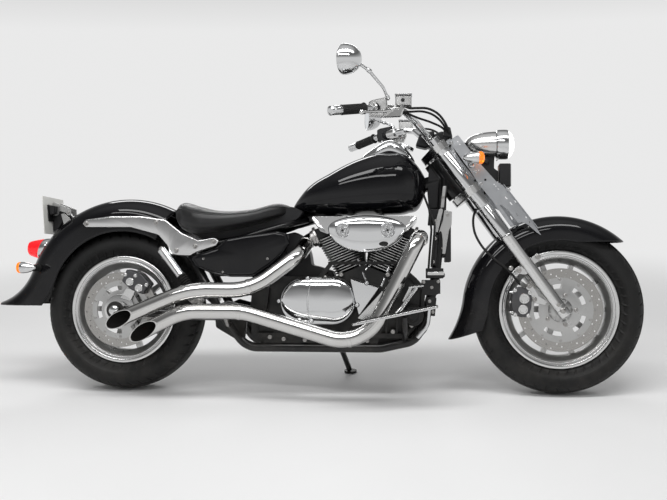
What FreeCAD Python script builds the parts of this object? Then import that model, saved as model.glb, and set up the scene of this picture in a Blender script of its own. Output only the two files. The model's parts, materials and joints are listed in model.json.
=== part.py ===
"""Cruiser motorcycle with a V-twin engine, parked on its side stand, in millimetres.

Every piece is drawn on an upright motorcycle: X forward, Y left, Z up, the origin on the
ground half-way between the axles. Its Placement then leans it over onto the side stand.
"""
import FreeCAD
import Part
import Sketcher
import math
import os

Vector = FreeCAD.Vector
Rotation = FreeCAD.Rotation
Placement = FreeCAD.Placement
ALONG_X = Vector(1, 0, 0)
ALONG_Y = Vector(0, 1, 0)
ALONG_Z = Vector(0, 0, 1)

# Driving dimensions: name, value, what it is
SIZES = [
    ("lean_angle", 9, "lean to the left on the side stand, degrees"),
    ("wheelbase", 1687, "between the axles"),
    ("seat_gap", 0.3, "clearance between a piece and what carries it"),
    ("running_gap", 6, "clearance beside a moving piece"),
    # Wheels
    ("front_tyre_radius", 320, "axle to tread"),
    ("front_tyre_width", 150, "over the sidewalls"),
    ("front_bead_radius", 203, "16 inch rim"),
    ("rear_tyre_radius", 315, "axle to tread"),
    ("rear_tyre_width", 180, "over the sidewalls"),
    ("rear_bead_radius", 190, "15 inch rim"),
    ("rim_flange", 18, "height of the rim's edge over the bead seat"),
    ("rim_wall", 8, "thickness of the rim"),
    ("tyre_wall", 11, "thickness of the tyre"),
    ("hub_radius", 44, "cast hub"),
    ("spoke_count", 10, "cast spokes in a wheel"),
    ("spoke_width", 26, "at the hub"),
    ("spoke_depth", 34, "along the axle"),
    ("axle_radius", 10, "front and rear axle"),
    ("axle_clearance", 0.05, "hub bore over axle, on the radius"),
    ("front_disc_radius", 156, "brake disc"),
    ("rear_disc_radius", 146, "brake disc"),
    ("disc_thickness", 5, "brake disc"),
    ("disc_carrier_radius", 118, "inner edge of the braking band"),
    ("disc_slot_count", 10, "slots in the disc carrier"),
    # Front fork
    ("rake", 36.1, "steering head from the vertical, degrees"),
    ("axle_setback", 13, "front axle behind the foot of the fork line"),
    ("leg_setback", 10.6, "fork legs behind the fork line"),
    ("steering_setback", 62, "steering axis behind the axle"),
    ("leg_spread", 236, "between the fork legs"),
    ("slider_radius", 24, "lower fork leg"),
    ("shroud_radius", 27, "upper fork cover"),
    ("stanchion_radius", 20.5, "inner fork tube"),
    ("slider_top", 387, "along the leg from the axle"),
    ("shroud_bottom", 516, "along the leg"),
    ("shroud_top", 746, "along the leg"),
    ("fork_top", 804, "along the leg"),
    ("clamp_height", 30, "triple clamps, along the steering axis"),
    ("lower_clamp_at", 546, "along the leg"),
    ("upper_clamp_at", 748, "along the leg"),
    ("head_tube_radius", 31, "outside of the steering head"),
    ("stem_radius", 14, "steering stem"),
    ("stem_clearance", 0.06, "steering head's bore over its stem, on the radius"),
    ("plate_gauge", 3, "fork side plates"),
    ("bar_radius", 12.7, "handlebar tube"),
    ("grip_radius", 16.5, "handlebar grip"),
    # Fenders
    ("front_fender_gap", 37, "fender crown over the front tyre"),
    ("rear_fender_gap", 98, "fender crown over the rear tyre"),
    ("fender_side_gap", 10, "fender side beside the tyre"),
    ("fender_gauge", 3, "fender sheet"),
    ("front_fender_depth", 91, "crown to side lip"),
    ("rear_fender_depth", 128, "crown to side lip"),
    ("front_flare_radius", 380, "outward curve at the lower end"),
    ("rear_flare_radius", 220, "fishtail curve"),
    # Engine
    ("crank_forward", 105, "crankshaft ahead of the middle"),
    ("crank_height", 338, "crankshaft over the ground"),
    ("vee_angle", 45, "between the cylinders, degrees"),
    ("case_half_width", 120, "crankcase"),
    ("deck_height", 140, "crankshaft to cylinder foot"),
    ("fin_count", 15, "cooling fins on a cylinder"),
    ("fin_pitch", 10, "between fins"),
    ("fin_thickness", 4, "cooling fin"),
    ("head_top", 338, "crankshaft to the top of the head"),
    ("pipe_radius", 29, "exhaust pipe"),
    ("pipe_wall", 2.5, "exhaust pipe"),
    ("pipe_spread", 236, "middle plane to the lower pipe's axis"),
    # Frame
    ("rail_radius", 17, "lower frame rail"),
    ("rail_spread", 115, "middle plane to the rail's axis"),
    ("rail_height", 175, "rail axis over the ground"),
    ("backbone_radius", 28, "tube under the tank"),
    ("subframe_radius", 12, "seat rail"),
    ("subframe_spread", 100, "middle plane to the seat rail's axis"),
    ("swing_pivot_forward", -400, "swingarm pivot from the middle"),
    ("swing_pivot_height", 292, "swingarm pivot over the ground"),
    ("arm_spread", 134, "middle plane to the swingarm's arm"),
    ("arm_radius", 20, "swingarm's right arm"),
    ("shaft_housing_radius", 30, "swingarm's left arm, round the drive shaft"),
    ("strut_gauge", 8, "fender strut"),
    ("cover_face", 152, "middle plane to the outside of the side cover"),
    ("stand_splay", 36, "side stand outward of straight down, degrees"),
    ("stand_radius", 11, "side stand leg"),
    ("stand_pin_radius", 8, "side stand pivot pin"),
    ("stand_clearance", 0.06, "side stand's bore over its pin, on the radius"),
]

DOC = FreeCAD.newDocument("cruiser")
SHEET = DOC.addObject("Spreadsheet::Sheet", "sizes")
for row, (alias, value, note) in enumerate(SIZES, start=1):
    SHEET.set(f"A{row}", alias)
    SHEET.set(f"B{row}", str(value))
    SHEET.set(f"C{row}", note)
    SHEET.setAlias(f"B{row}", alias)
DOC.recompute()


class Dimensions:
    """Reads a driving dimension from the sheet by its alias."""

    def __getattr__(self, alias):
        return float(SHEET.get(alias))


d = Dimensions()
NODES = []


# Places that several pieces share
FORK_FOOT = Vector((d.wheelbase + d.axle_setback) / 2, 0, d.front_tyre_radius)
FRONT_AXLE = FORK_FOOT - ALONG_X * d.axle_setback
REAR_AXLE = Vector(-FORK_FOOT.x, 0, d.rear_tyre_radius)
CRANK = Vector(d.crank_forward, 0, d.crank_height)
SWING_PIVOT = Vector(d.swing_pivot_forward, 0, d.swing_pivot_height)
FORK = Placement(FORK_FOOT, Rotation(ALONG_Y, -d.rake))


def fork(ahead, left, up):
    """Point given by its distance ahead of the fork line's foot and up along the fork."""
    return FORK.multVec(Vector(ahead, left, up))


STEERING_UP = FORK.Rotation.multVec(ALONG_Z)
HEAD_LOW = fork(-d.steering_setback, 0, d.lower_clamp_at + d.clamp_height + d.running_gap)
HEAD_TOP = fork(-d.steering_setback, 0, d.upper_clamp_at - d.running_gap)

# Stance: the tyres' round crowns roll a little as the motorcycle leans
LEAN = math.radians(d.lean_angle)
CROWN_RISE = (d.front_tyre_width + d.rear_tyre_width) / 4 * (1 - math.cos(LEAN))
BAR_END_HEIGHT = 1013
TAIL_TIP = 1364
STANCE = Placement(
    Vector(
        (TAIL_TIP - FRONT_AXLE.x - d.front_tyre_radius) / 2,
        -BAR_END_HEIGHT * math.sin(LEAN),
        CROWN_RISE,
    ),
    Rotation(ALONG_X, -d.lean_angle),
)


def unit(vector):
    """The direction of a vector."""
    return Vector(vector).normalize()


def rounded(points, radii, closed):
    """Wire through the points whose corners are tangent arcs of the given radii."""
    ends = []
    for index, here in enumerate(points):
        is_end = not closed and index in (0, len(points) - 1)
        if is_end or not radii[index]:
            ends.append((here, None, here))
            continue
        back = unit(points[index - 1] - here)
        on = unit(points[(index + 1) % len(points)] - here)
        half = back.getAngle(on) / 2
        reach = radii[index] / math.tan(half)
        middle = here + unit(back + on) * (radii[index] / math.sin(half) - radii[index])
        ends.append((here + back * reach, middle, here + on * reach))
    edges = []
    for index, (start, middle, finish) in enumerate(ends):
        if middle is not None:
            edges.append(Part.Arc(start, middle, finish).toShape())
        if closed or index + 1 < len(ends):
            following = ends[(index + 1) % len(ends)][0]
            if (following - finish).Length > 0.001:
                edges.append(Part.LineSegment(finish, following).toShape())
    return Part.Wire(edges)


def soft_radii(points, share, closed):
    """Corner radii that use up the given share of each shorter side."""
    radii = []
    for index, here in enumerate(points):
        back = points[index - 1] - here
        on = points[(index + 1) % len(points)] - here
        if not closed and index in (0, len(points) - 1):
            radii.append(0)
            continue
        radii.append(share * min(back.Length, on.Length) * math.tan(back.getAngle(on) / 2))
    return radii


def side_plane(outline, y):
    """Points of an outline given as (x, z), on the plane at y."""
    return [Vector(point[0], y, point[1]) for point in outline]


def about(place, offsets):
    """Outline given by its offsets ahead of and above a place, as (x, z)."""
    return [(place.x + ahead, place.z + up) for ahead, up in offsets]


def prism(outline, low, high, radius=0, share=0):
    """Solid between two planes of Y; corners rounded by a radius or by a share."""
    points = side_plane(outline, low)
    radii = [radius] * len(points)
    if share:
        radii = soft_radii(points, share, True)
    face = Part.Face(rounded(points, radii, True))
    return face.extrude(Vector(0, high - low, 0))


def block(low, high):
    """Box between two corners."""
    return Part.makeBox(high[0] - low[0], high[1] - low[1], high[2] - low[2], Vector(*low))


def rod(radius, start, finish):
    """Cylinder between two points."""
    start = Vector(start)
    along = Vector(finish) - start
    return Part.makeCylinder(radius, along.Length, start, along)


def taper(start_radius, finish_radius, start, finish):
    """Cone between two points."""
    start = Vector(start)
    along = Vector(finish) - start
    return Part.makeCone(start_radius, finish_radius, along.Length, start, along)


def tube(points, radius, bends):
    """Round bar along straight runs joined by tangent arcs of the given radii."""
    points = [Vector(point) for point in points]
    spine = rounded(points, [0] + list(bends) + [0], False)
    ring = Part.Wire(Part.makeCircle(radius, points[0], points[1] - points[0]))
    return spine.makePipeShell([ring], True, True)


def limp_bends(points):
    """Arc radii as large as a hose's runs allow."""
    points = [Vector(point) for point in points]
    return soft_radii(points, 0.45, False)[1:-1]


def lathe(profile, base, direction):
    """Turned solid: the profile lists (distance along the direction, radius)."""
    direction = unit(direction)
    side = direction.cross(ALONG_Y if abs(direction.y) < 0.9 else ALONG_X).normalize()
    base = Vector(base)
    points = [base + direction * along + side * radius for along, radius in profile]
    face = Part.Face(Part.makePolygon(points + [points[0]]))
    return face.revolve(base, direction, 360)


def largest(shape):
    """The biggest of the solids that a cut has left."""
    return max(shape.Solids, key=lambda solid: solid.Volume)


def join(shapes):
    """One shape out of several that touch."""
    return shapes[0].multiFuse(shapes[1:]).removeSplitter()


def mirrored(shape):
    """The other side's copy."""
    return shape.mirror(Vector(0, 0, 0), ALONG_Y)


def both_sides(shape):
    """A right-hand shape and its left-hand copy, apart from each other."""
    return Part.makeCompound([shape, mirrored(shape)])


def node(label, shape):
    """Registers a sub-part made in code and leans it onto the stand."""
    piece = DOC.addObject("Part::Feature", label)
    piece.Label = label
    piece.Shape = shape
    piece.Placement = STANCE.multiply(piece.Placement)
    NODES.append(piece)
    return piece


def adopt(label, feature, own=Placement()):
    """Registers a parametric sub-part, placed on the upright motorcycle by its own placement."""
    feature.Label = label
    feature.Placement = STANCE.multiply(own)
    NODES.append(feature)
    return feature


# Turned pieces on an axle have their own Z to the left
ACROSS = Rotation(ALONG_X, -90)


def origin_plane(body, role):
    """One of a body's own origin planes."""
    for feature in body.Origin.OriginFeatures:
        if feature.Role == role:
            return feature
    raise ValueError(role)


def sketch(body, name, role="XY_Plane"):
    """Empty sketch on one of the body's origin planes."""
    drawing = body.newObject("Sketcher::SketchObject", name)
    drawing.AttachmentSupport = [(origin_plane(body, role), "")]
    drawing.MapMode = "FlatFace"
    return drawing


def bound_circle(drawing, name, radius, centre=(0, 0)):
    """Circle in a sketch whose radius is a sheet expression."""
    circle = drawing.addGeometry(Part.Circle(Vector(centre[0], centre[1], 0), ALONG_Z, 10))
    drawing.addConstraint(Sketcher.Constraint("Radius", circle, 10))
    drawing.renameConstraint(drawing.ConstraintCount - 1, name)
    drawing.setExpression("Constraints." + name, radius)
    return circle


# Wheels

def rim_and_spokes(bead, half_width, disc_side):
    """Cast wheel about the Y axis at the origin; disc_side is the half length of the hub."""
    flange = bead + d.rim_flange
    well = bead - 20
    inner = well - d.rim_wall
    profile = [
        (-half_width, flange), (-half_width + 7, flange), (-half_width + 9, bead),
        (-24, bead), (-16, well), (16, well), (24, bead),
        (half_width - 9, bead), (half_width - 7, flange), (half_width, flange),
        (half_width - 1, bead - d.rim_wall), (22, inner), (-22, inner),
        (-half_width + 1, bead - d.rim_wall),
    ]
    rim = lathe(profile, (0, 0, 0), ALONG_Y)
    hub = rod(d.hub_radius, (0, -disc_side, 0), (0, disc_side, 0))
    spokes = []
    for number in range(int(d.spoke_count)):
        wide = d.spoke_width / 2
        narrow = wide * 0.62
        web = [(d.hub_radius - 8, -wide), (inner + 4, -narrow), (inner + 4, narrow),
               (d.hub_radius - 8, wide)]
        spoke = prism(web, -d.spoke_depth / 2, d.spoke_depth / 2)
        spokes.append(spoke.rotate(Vector(), ALONG_Y, 360 * number / d.spoke_count))
    wheel = join([rim, hub] + spokes)
    return wheel.cut(rod(d.axle_radius + d.axle_clearance, (0, -disc_side, 0), (0, disc_side, 0)))


def tyre(radius, width, bead, rim_half_width):
    """Tyre with a round tread, hollow, seated on the rim with the named gap."""
    seat = bead + d.seat_gap
    over_flange = bead + d.rim_flange + 2
    foot = rim_half_width - 9 - d.seat_gap
    shoulder = radius - 0.2 * (radius - seat)
    bulge = (over_flange + shoulder) / 2 - 6
    skins = []
    for inset in (0, d.tyre_wall):
        half = width / 2 - inset
        tread_half = width * 0.39 - 0.8 * inset
        rows = [(foot - inset, seat), (foot - inset, over_flange), (half, bulge),
                (tread_half, shoulder - 0.8 * inset), (0, radius - 1.2 * inset)]
        right = [Vector(0, -y, r) for y, r in rows]
        skins.append(right + [Vector(0, -point.y, point.z) for point in reversed(right[:-1])])
    edges = []
    for skin in skins:
        edges.append(Part.LineSegment(skin[0], skin[1]).toShape())
        edges.append(Part.Arc(skin[1], skin[2], skin[3]).toShape())
        edges.append(Part.Arc(skin[3], skin[4], skin[5]).toShape())
        edges.append(Part.Arc(skin[5], skin[6], skin[7]).toShape())
        edges.append(Part.LineSegment(skin[7], skin[8]).toShape())
    edges.append(Part.LineSegment(skins[0][0], skins[1][0]).toShape())
    edges.append(Part.LineSegment(skins[0][-1], skins[1][-1]).toShape())
    outline = Part.Wire(Part.__sortEdges__(edges))
    return Part.Face(outline).revolve(Vector(), ALONG_Y, 360)


def brake_disc(name, radius, axle, y):
    """Slotted brake disc, a body whose sketches are bound to the sheet."""
    body = DOC.addObject("PartDesign::Body", name + "_body")
    plan = sketch(body, name + "_plan")
    bound_circle(plan, "outside", radius)
    bound_circle(plan, "bore", "sizes.hub_radius + sizes.seat_gap")
    pad = body.newObject("PartDesign::Pad", name + "_pad")
    pad.Profile = plan
    pad.setExpression("Length", "sizes.disc_thickness")
    slots = sketch(body, name + "_slot")
    slot = slots.addGeometry(Part.Circle(Vector(86, 0, 0), ALONG_Z, 12))
    slots.addConstraint(Sketcher.Constraint("PointOnObject", slot, 3, -1))
    slots.addConstraint(Sketcher.Constraint("Radius", slot, 12))
    slots.addConstraint(Sketcher.Constraint("DistanceX", -1, 1, slot, 3, 86))
    slots.renameConstraint(2, "reach")
    slots.setExpression("Constraints.reach", "(sizes.disc_carrier_radius + sizes.hub_radius) / 2 + 8")
    pocket = body.newObject("PartDesign::Pocket", name + "_pocket")
    pocket.Profile = slots
    pocket.setExpression("Length", "sizes.disc_thickness * 3")
    pocket.Midplane = True
    DOC.recompute()
    pattern = body.newObject("PartDesign::PolarPattern", name + "_ring")
    pattern.Originals = [pocket]
    pattern.Axis = (slots, ["N_Axis"])
    pattern.Angle = 360
    pattern.setExpression("Occurrences", "sizes.disc_slot_count")
    body.Tip = pattern
    DOC.recompute()
    return adopt(name, body, Placement(Vector(axle.x, y, axle.z), ACROSS))


def disc_room(axle, radius, y):
    """Space that a caliper leaves for its disc."""
    gap = d.running_gap
    return rod(radius + gap, (axle.x, y - gap, axle.z), (axle.x, y + d.disc_thickness + gap, axle.z))


def moved(shape, place):
    """Copy of a shape shifted to a place."""
    return shape.copy().translate(Vector(place))


FRONT_RIM_HALF = d.front_tyre_width * 0.33
REAR_RIM_HALF = d.rear_tyre_width * 0.33
LEG_Y = d.leg_spread / 2
FRONT_HUB_HALF = LEG_Y - d.slider_radius - d.running_gap
REAR_HUB_HALF = d.arm_spread - d.shaft_housing_radius - d.running_gap
FRONT_DISC_Y = -FRONT_HUB_HALF + d.disc_thickness
REAR_DISC_Y = -REAR_HUB_HALF + d.disc_thickness

# Wheels: end, axle, tyre radius, tyre width, bead radius, rim half width, hub half length
WHEELS = [
    ("front", FRONT_AXLE, d.front_tyre_radius, d.front_tyre_width, d.front_bead_radius, FRONT_RIM_HALF,
     FRONT_HUB_HALF),
    ("rear", REAR_AXLE, d.rear_tyre_radius, d.rear_tyre_width, d.rear_bead_radius, REAR_RIM_HALF,
     REAR_HUB_HALF),
]
for end, axle, tyre_radius, tyre_width, bead, rim_half, hub_half in WHEELS:
    node(end + "_wheel", moved(rim_and_spokes(bead, rim_half, hub_half), axle))
    node(end + "_tyre", moved(tyre(tyre_radius, tyre_width, bead, rim_half), axle))
brake_disc("front_disc", "sizes.front_disc_radius", FRONT_AXLE, FRONT_DISC_Y)
brake_disc("rear_disc", "sizes.rear_disc_radius", REAR_AXLE, REAR_DISC_Y)

for label, axle, half in (("front_axle", FRONT_AXLE, LEG_Y + d.slider_radius + 8),
                          ("rear_axle", REAR_AXLE, d.arm_spread + d.arm_radius + 10)):
    shaft = DOC.addObject("Part::Cylinder", label + "_shaft")
    shaft.setExpression("Radius", "sizes.axle_radius")
    shaft.Height = 2 * half
    adopt(label, shaft, Placement(axle - ALONG_Y * half, ACROSS))


# Fenders

def fender_section(crown, lip, half_width):
    """Face of the fender sheet on the XY plane: X is the radius, Y is across."""
    corner = 0.51 * half_width
    arch = 1.38 * half_width
    corner_y = half_width - corner
    corner_x = crown - arch + math.sqrt((arch - corner) ** 2 - corner_y ** 2)
    arch_x = crown - arch
    toward = unit(Vector(corner_x - arch_x, -corner_y, 0))
    turn = unit(toward + Vector(0, -1, 0))
    edges = []
    ends = []
    for inset in (0, d.fender_gauge):
        low = Vector(lip, inset - half_width, 0)
        side = Vector(corner_x, inset - half_width, 0)
        middle = Vector(corner_x, -corner_y, 0) + turn * (corner - inset)
        join_at = Vector(corner_x, -corner_y, 0) + toward * (corner - inset)
        top = Vector(crown - inset, 0, 0)
        left = [Vector(point.x, -point.y, 0) for point in (low, side, middle, join_at)]
        edges.append(Part.LineSegment(low, side).toShape())
        edges.append(Part.Arc(side, middle, join_at).toShape())
        edges.append(Part.Arc(join_at, top, left[3]).toShape())
        edges.append(Part.Arc(left[3], left[2], left[1]).toShape())
        edges.append(Part.LineSegment(left[1], left[0]).toShape())
        ends.append((low, left[0]))
    edges.append(Part.LineSegment(ends[0][0], ends[1][0]).toShape())
    edges.append(Part.LineSegment(ends[0][1], ends[1][1]).toShape())
    return Part.Face(Part.Wire(Part.__sortEdges__(edges)))


def fender(centre, crown, lip, half_width, start, stop, flare_radius, flare_angle):
    """Fender sheet about a centre from one angle to another, then flared the other way."""
    section = fender_section(crown, lip, half_width)
    section.Placement = Placement(Vector(centre), Rotation(ALONG_Y, -start))
    main = section.revolve(Vector(centre), Vector(0, -1, 0), stop - start)
    section.Placement = Placement(Vector(centre), Rotation(ALONG_Y, -stop))
    outward = Rotation(ALONG_Y, -stop).multVec(ALONG_X)
    pivot = Vector(centre) + outward * (crown + flare_radius)
    flare = section.revolve(pivot, ALONG_Y, flare_angle)
    return main.fuse(flare).removeSplitter()


FRONT_FENDER_CENTRE = FORK_FOOT + Vector(-12, 0, -4)
FRONT_CROWN = d.front_tyre_radius + d.front_fender_gap
FRONT_FENDER_HALF = d.front_tyre_width / 2 + d.fender_side_gap + d.fender_gauge
front_fender = fender(FRONT_FENDER_CENTRE, FRONT_CROWN, FRONT_CROWN - d.front_fender_depth,
                      FRONT_FENDER_HALF, 45.7, 172.8, d.front_flare_radius, 27)
FENDER_NOSE_HEIGHT = FORK_FOOT.z + 256
ahead_of_nose = block((FORK_FOOT.x + 10, -200, 0), (FORK_FOOT.x + 500, 200, FENDER_NOSE_HEIGHT))
front_fender = front_fender.cut(ahead_of_nose)
below_tail = prism([(380, 60), (620, 60), (620, 268), (380, 188)], -200, 200)
front_fender = front_fender.cut(below_tail)
node("front_fender", front_fender)

REAR_FENDER_CENTRE = REAR_AXLE + Vector(8, 0, 23)
REAR_CROWN = d.rear_tyre_radius + d.rear_fender_gap
REAR_FENDER_HALF = d.rear_tyre_width / 2 + d.fender_side_gap + d.fender_gauge + 5
rear_fender = fender(REAR_FENDER_CENTRE, REAR_CROWN, REAR_CROWN - d.rear_fender_depth,
                     REAR_FENDER_HALF, 61.8, 160.5, d.rear_flare_radius, 50.5)
rear_fender = rear_fender.cut(block((-1600, -300, 0), (REAR_AXLE.x - 150, 300, REAR_AXLE.z + 18)))
node("rear_fender", rear_fender)


# Engine

def cylinder_frame(lean):
    """Local frame of a cylinder: Z up its bore from the crankshaft, X forward across it."""
    return Placement(CRANK, Rotation(ALONG_Y, lean))


CYLINDER_LEANS = (-d.vee_angle / 2, d.vee_angle / 2)
CASE_REAR = d.crank_forward - 430
case = prism([(CASE_REAR, 215), (CASE_REAR + 40, 192.3), (158, 192.3), (258, 214), (293, 241),
              (317, 290), (329, 330), (334, 404), (300, 440), (228, 505), (-18, 505), (-62, 445), (CASE_REAR, 445)],
             -d.case_half_width, d.case_half_width, radius=12)
sump = prism([(-190, 166), (180, 166), (220, 215), (-230, 215)], -85, 85, radius=10)
case = case.fuse(sump)
for lean in CYLINDER_LEANS:
    above_deck = block((-86, -200, d.deck_height), (90, 200, 500))
    above_deck.Placement = cylinder_frame(lean)
    case = case.cut(above_deck)
node("crankcase", case.removeSplitter())

HEAD_HALF_LENGTH = 68
HEAD_HALF_WIDTH = 86
HEAD_HEIGHT = 40
PORT_HEIGHT = d.head_top - 28
PORT_Y = -45


def port(facing):
    """Exhaust port: centre on the head's outer face and the way out; facing is -1 behind, 1 ahead."""
    frame = cylinder_frame(facing * d.vee_angle / 2)
    centre = frame.multVec(Vector(facing * (HEAD_HALF_LENGTH + d.seat_gap), PORT_Y, PORT_HEIGHT))
    return centre, frame.Rotation.multVec(Vector(facing, 0, 0))


cylinders = []
for facing, lean in zip((-1, 1), CYLINDER_LEANS):
    foot = d.deck_height + d.seat_gap
    pieces = [rod(56, (0, 0, foot), (0, 0, d.head_top - HEAD_HEIGHT))]
    for number in range(int(d.fin_count)):
        low = foot + 8 + number * d.fin_pitch
        reach = 58 + 20 * number / d.fin_count
        fin_outline = [Vector(-reach, -90, low), Vector(reach, -90, low), Vector(reach, 90, low),
                       Vector(-reach, 90, low)]
        fin = Part.Face(rounded(fin_outline, [34] * 4, True))
        pieces.append(fin.extrude(Vector(0, 0, d.fin_thickness)))
    pieces.append(block((-HEAD_HALF_LENGTH, -HEAD_HALF_WIDTH, d.head_top - HEAD_HEIGHT),
                        (HEAD_HALF_LENGTH, HEAD_HALF_WIDTH, d.head_top)))
    solid = join(pieces)
    solid.Placement = cylinder_frame(lean).multiply(solid.Placement)
    centre, outward = port(facing)
    cylinders.append(solid.cut(rod(d.pipe_radius + d.seat_gap, centre, centre + outward * 40)))
node("cylinders", Part.makeCompound(cylinders))

BACKBONE_FRONT = HEAD_TOP * 0.5 + HEAD_LOW * 0.5 + Vector(-8, 0, 0)
BACKBONE_REAR = Vector(-165, 0, 660)
COVER_HALF_WIDTH = 106
# Rear head cover outline; the front one is its mirror image about the crankshaft
HEAD_COVER = [(-102, 674), (40, 674), (78, 640), (30, 608), (-20, 602), (-62, 618)]
covers = []
for facing, lean in zip((-1, 1), CYLINDER_LEANS):
    outline = [(d.crank_forward - facing * (x - d.crank_forward), z) for x, z in HEAD_COVER]
    cover = prism(outline, -COVER_HALF_WIDTH, COVER_HALF_WIDTH, radius=8)
    head_room = HEAD_HALF_WIDTH + d.seat_gap
    room = block((-90, -head_room, 100), (90, head_room, d.head_top + d.seat_gap))
    fins_room = block((-90, -120, 100), (90, 120, d.head_top - 36))
    for space in (room, fins_room):
        space.Placement = cylinder_frame(lean)
        cover = cover.cut(space)
    centre, outward = port(facing)
    cover = cover.cut(rod(d.pipe_radius + 4, centre - outward * 40, centre + outward * 90))
    cover = cover.cut(rod(d.backbone_radius + 2, BACKBONE_FRONT, BACKBONE_REAR))
    covers.append(cover)
node("head_covers", Part.makeCompound(covers))

AIR_CENTRE = Vector(119, 0, 625)
AIR_HALF_LENGTH = 144
AIR_RISE = 48
AIR_DROP = 91
# Air cleaner layers: Y, share of the full outline
AIR_LAYERS = [(-150, 0.97), (-168, 1.0), (-184, 0.95), (-194, 0.82)]


def half_ellipse(centre, half_length, half_height, first):
    """Half an ellipse in a side plane, from a first angle on."""
    ellipse = Part.Ellipse(Vector(), max(half_length, half_height), min(half_length, half_height))
    arc = Part.ArcOfEllipse(ellipse, first, first + math.pi).toShape()
    arc.Placement = Placement(Vector(centre), Rotation(ALONG_X, 90))
    return arc


def air_layer(y, share):
    """Egg outline: a shallow half above a deep one."""
    centre = AIR_CENTRE + ALONG_Y * y
    return Part.Wire([half_ellipse(centre, AIR_HALF_LENGTH * share, AIR_RISE * share, 0),
                      half_ellipse(centre, AIR_HALF_LENGTH * share, AIR_DROP * share, math.pi)])


air = Part.makeLoft([air_layer(y, share) for y, share in AIR_LAYERS], True, False)
for cap_x in (31, 198):
    air = air.fuse(rod(27, (cap_x, -180, 616), (cap_x, -199, 616)))
back = prism([(25, 640), (200, 640), (180, 575), (60, 575)], -151, -COVER_HALF_WIDTH - d.seat_gap, radius=14)
throat = rod(17, (105, -120, 606), (105, -30, 606))
node("air_cleaner", air.fuse([back, throat]).removeSplitter())


def edges_at(shape, y):
    """The shape's edges that lie in the side plane at y."""
    return [e for e in shape.Edges if max(abs(e.BoundBox.YMin - y), abs(e.BoundBox.YMax - y)) < 0.01]


def side_case(outline, inner, outer, radius, edge):
    """Cast cover on the engine's side with a rounded outer edge."""
    cover = prism(outline, inner, outer, radius=radius)
    return cover.makeFillet(edge, edges_at(cover, outer))


CASE_RIGHT = -d.case_half_width - d.seat_gap
# Egg-shaped clutch cover: rear and front centres in X, centre in Z, radius
CLUTCH_REAR, CLUTCH_FRONT, CLUTCH_HEIGHT, CLUTCH_RADIUS = -120, -12, 352, 88
clutch_outline = [
    (CLUTCH_FRONT + CLUTCH_RADIUS, CLUTCH_HEIGHT + CLUTCH_RADIUS),
    (CLUTCH_REAR - CLUTCH_RADIUS, CLUTCH_HEIGHT + CLUTCH_RADIUS),
    (CLUTCH_REAR - CLUTCH_RADIUS, CLUTCH_HEIGHT - CLUTCH_RADIUS),
    (CLUTCH_FRONT + CLUTCH_RADIUS, CLUTCH_HEIGHT - CLUTCH_RADIUS),
]
clutch = side_case(clutch_outline, CASE_RIGHT, -186, CLUTCH_RADIUS - 1, 26)
clutch_cap = rod(26, (CLUTCH_FRONT, -186, CLUTCH_HEIGHT), (CLUTCH_FRONT, -190, CLUTCH_HEIGHT))
timing = side_case([(66, 424), (160, 398), (96, 309)], CASE_RIGHT, -176, 10, 5)
node("right_case_covers", Part.makeCompound([clutch.fuse(clutch_cap).removeSplitter(), timing]))

alternator = side_case([(190, 434), (10, 434), (10, 250), (190, 250)], -CASE_RIGHT, 178, 88, 22)
gearbox_cover = side_case([(-10, 400), (-250, 400), (-250, 262), (-10, 262)], -CASE_RIGHT, 168, 40, 14)
node("left_case_covers", Part.makeCompound([alternator, gearbox_cover]))


# Exhausts

def exhaust(points, bends, slash_normal):
    """Pipe with a slanted open end and a bore in its last run."""
    pipe = tube(points, d.pipe_radius, bends)
    end = Vector(points[-1])
    along = unit(end - Vector(points[-2]))
    pipe = pipe.cut(rod(d.pipe_radius - d.pipe_wall, end - along * 200, end + along * 5))
    away = Part.makeBox(400, 400, 400, Vector(-200, -200, 0))
    mid = end - along * 58
    away.Placement = Placement(mid, Rotation(ALONG_Z, slash_normal))
    return pipe.cut(away)


SLASH = Vector(-0.38, -0.92, -0.1)
PIPE_Y = -d.pipe_spread
rear_port, rear_way = port(-1)
front_port, front_way = port(1)
upper_pipe = exhaust([rear_port, rear_port + rear_way * 42, (-136, -190, 522), (-305, -228, 394),
                      (-540, -230, 396), (-862, PIPE_Y, 262)], [34, 60, 230, 400], SLASH)
node("exhaust_upper", upper_pipe)
BESIDE_RAIL = d.rail_spread + d.rail_radius + d.seat_gap
lower_pipe = exhaust([front_port, front_port + front_way * 38, (316, -212, 594), (112, PIPE_Y, 184.5),
                      (-335, PIPE_Y, 316), (-560, PIPE_Y, 316), (-765, PIPE_Y, 214)],
                     [34, 60, 155, 300, 250], SLASH)
hanger = tube([(-405, -BESIDE_RAIL, 262), (-405, -165, 262), (-405, -222, 300)], 9, [30])
upper_room = rod(d.pipe_radius + d.seat_gap, (-305, -228, 394), (-540, -230, 396))
web = block((-425, PIPE_Y + 2, 320), (-385, PIPE_Y + 8, 390)).cut(upper_room)
node("exhaust_lower", join([lower_pipe, hanger, web]))


# Frame

SEAT_RAIL = [(-120, 665), (-386, 588), (-570, 552)]
FRONT_TUBE_HEIGHT = 424
# Cross tubes: X, Z, half length
# Corner where the cradle's rails turn up ahead of the engine
RAIL_FRONT = (296, 203)
CROSS_TUBES = [(372, FRONT_TUBE_HEIGHT, 90), (250, 193, 105), (-300, 175, 105), (-563, 556, 95)]


SWING_HALF = d.rail_spread - d.rail_radius - d.seat_gap

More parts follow.
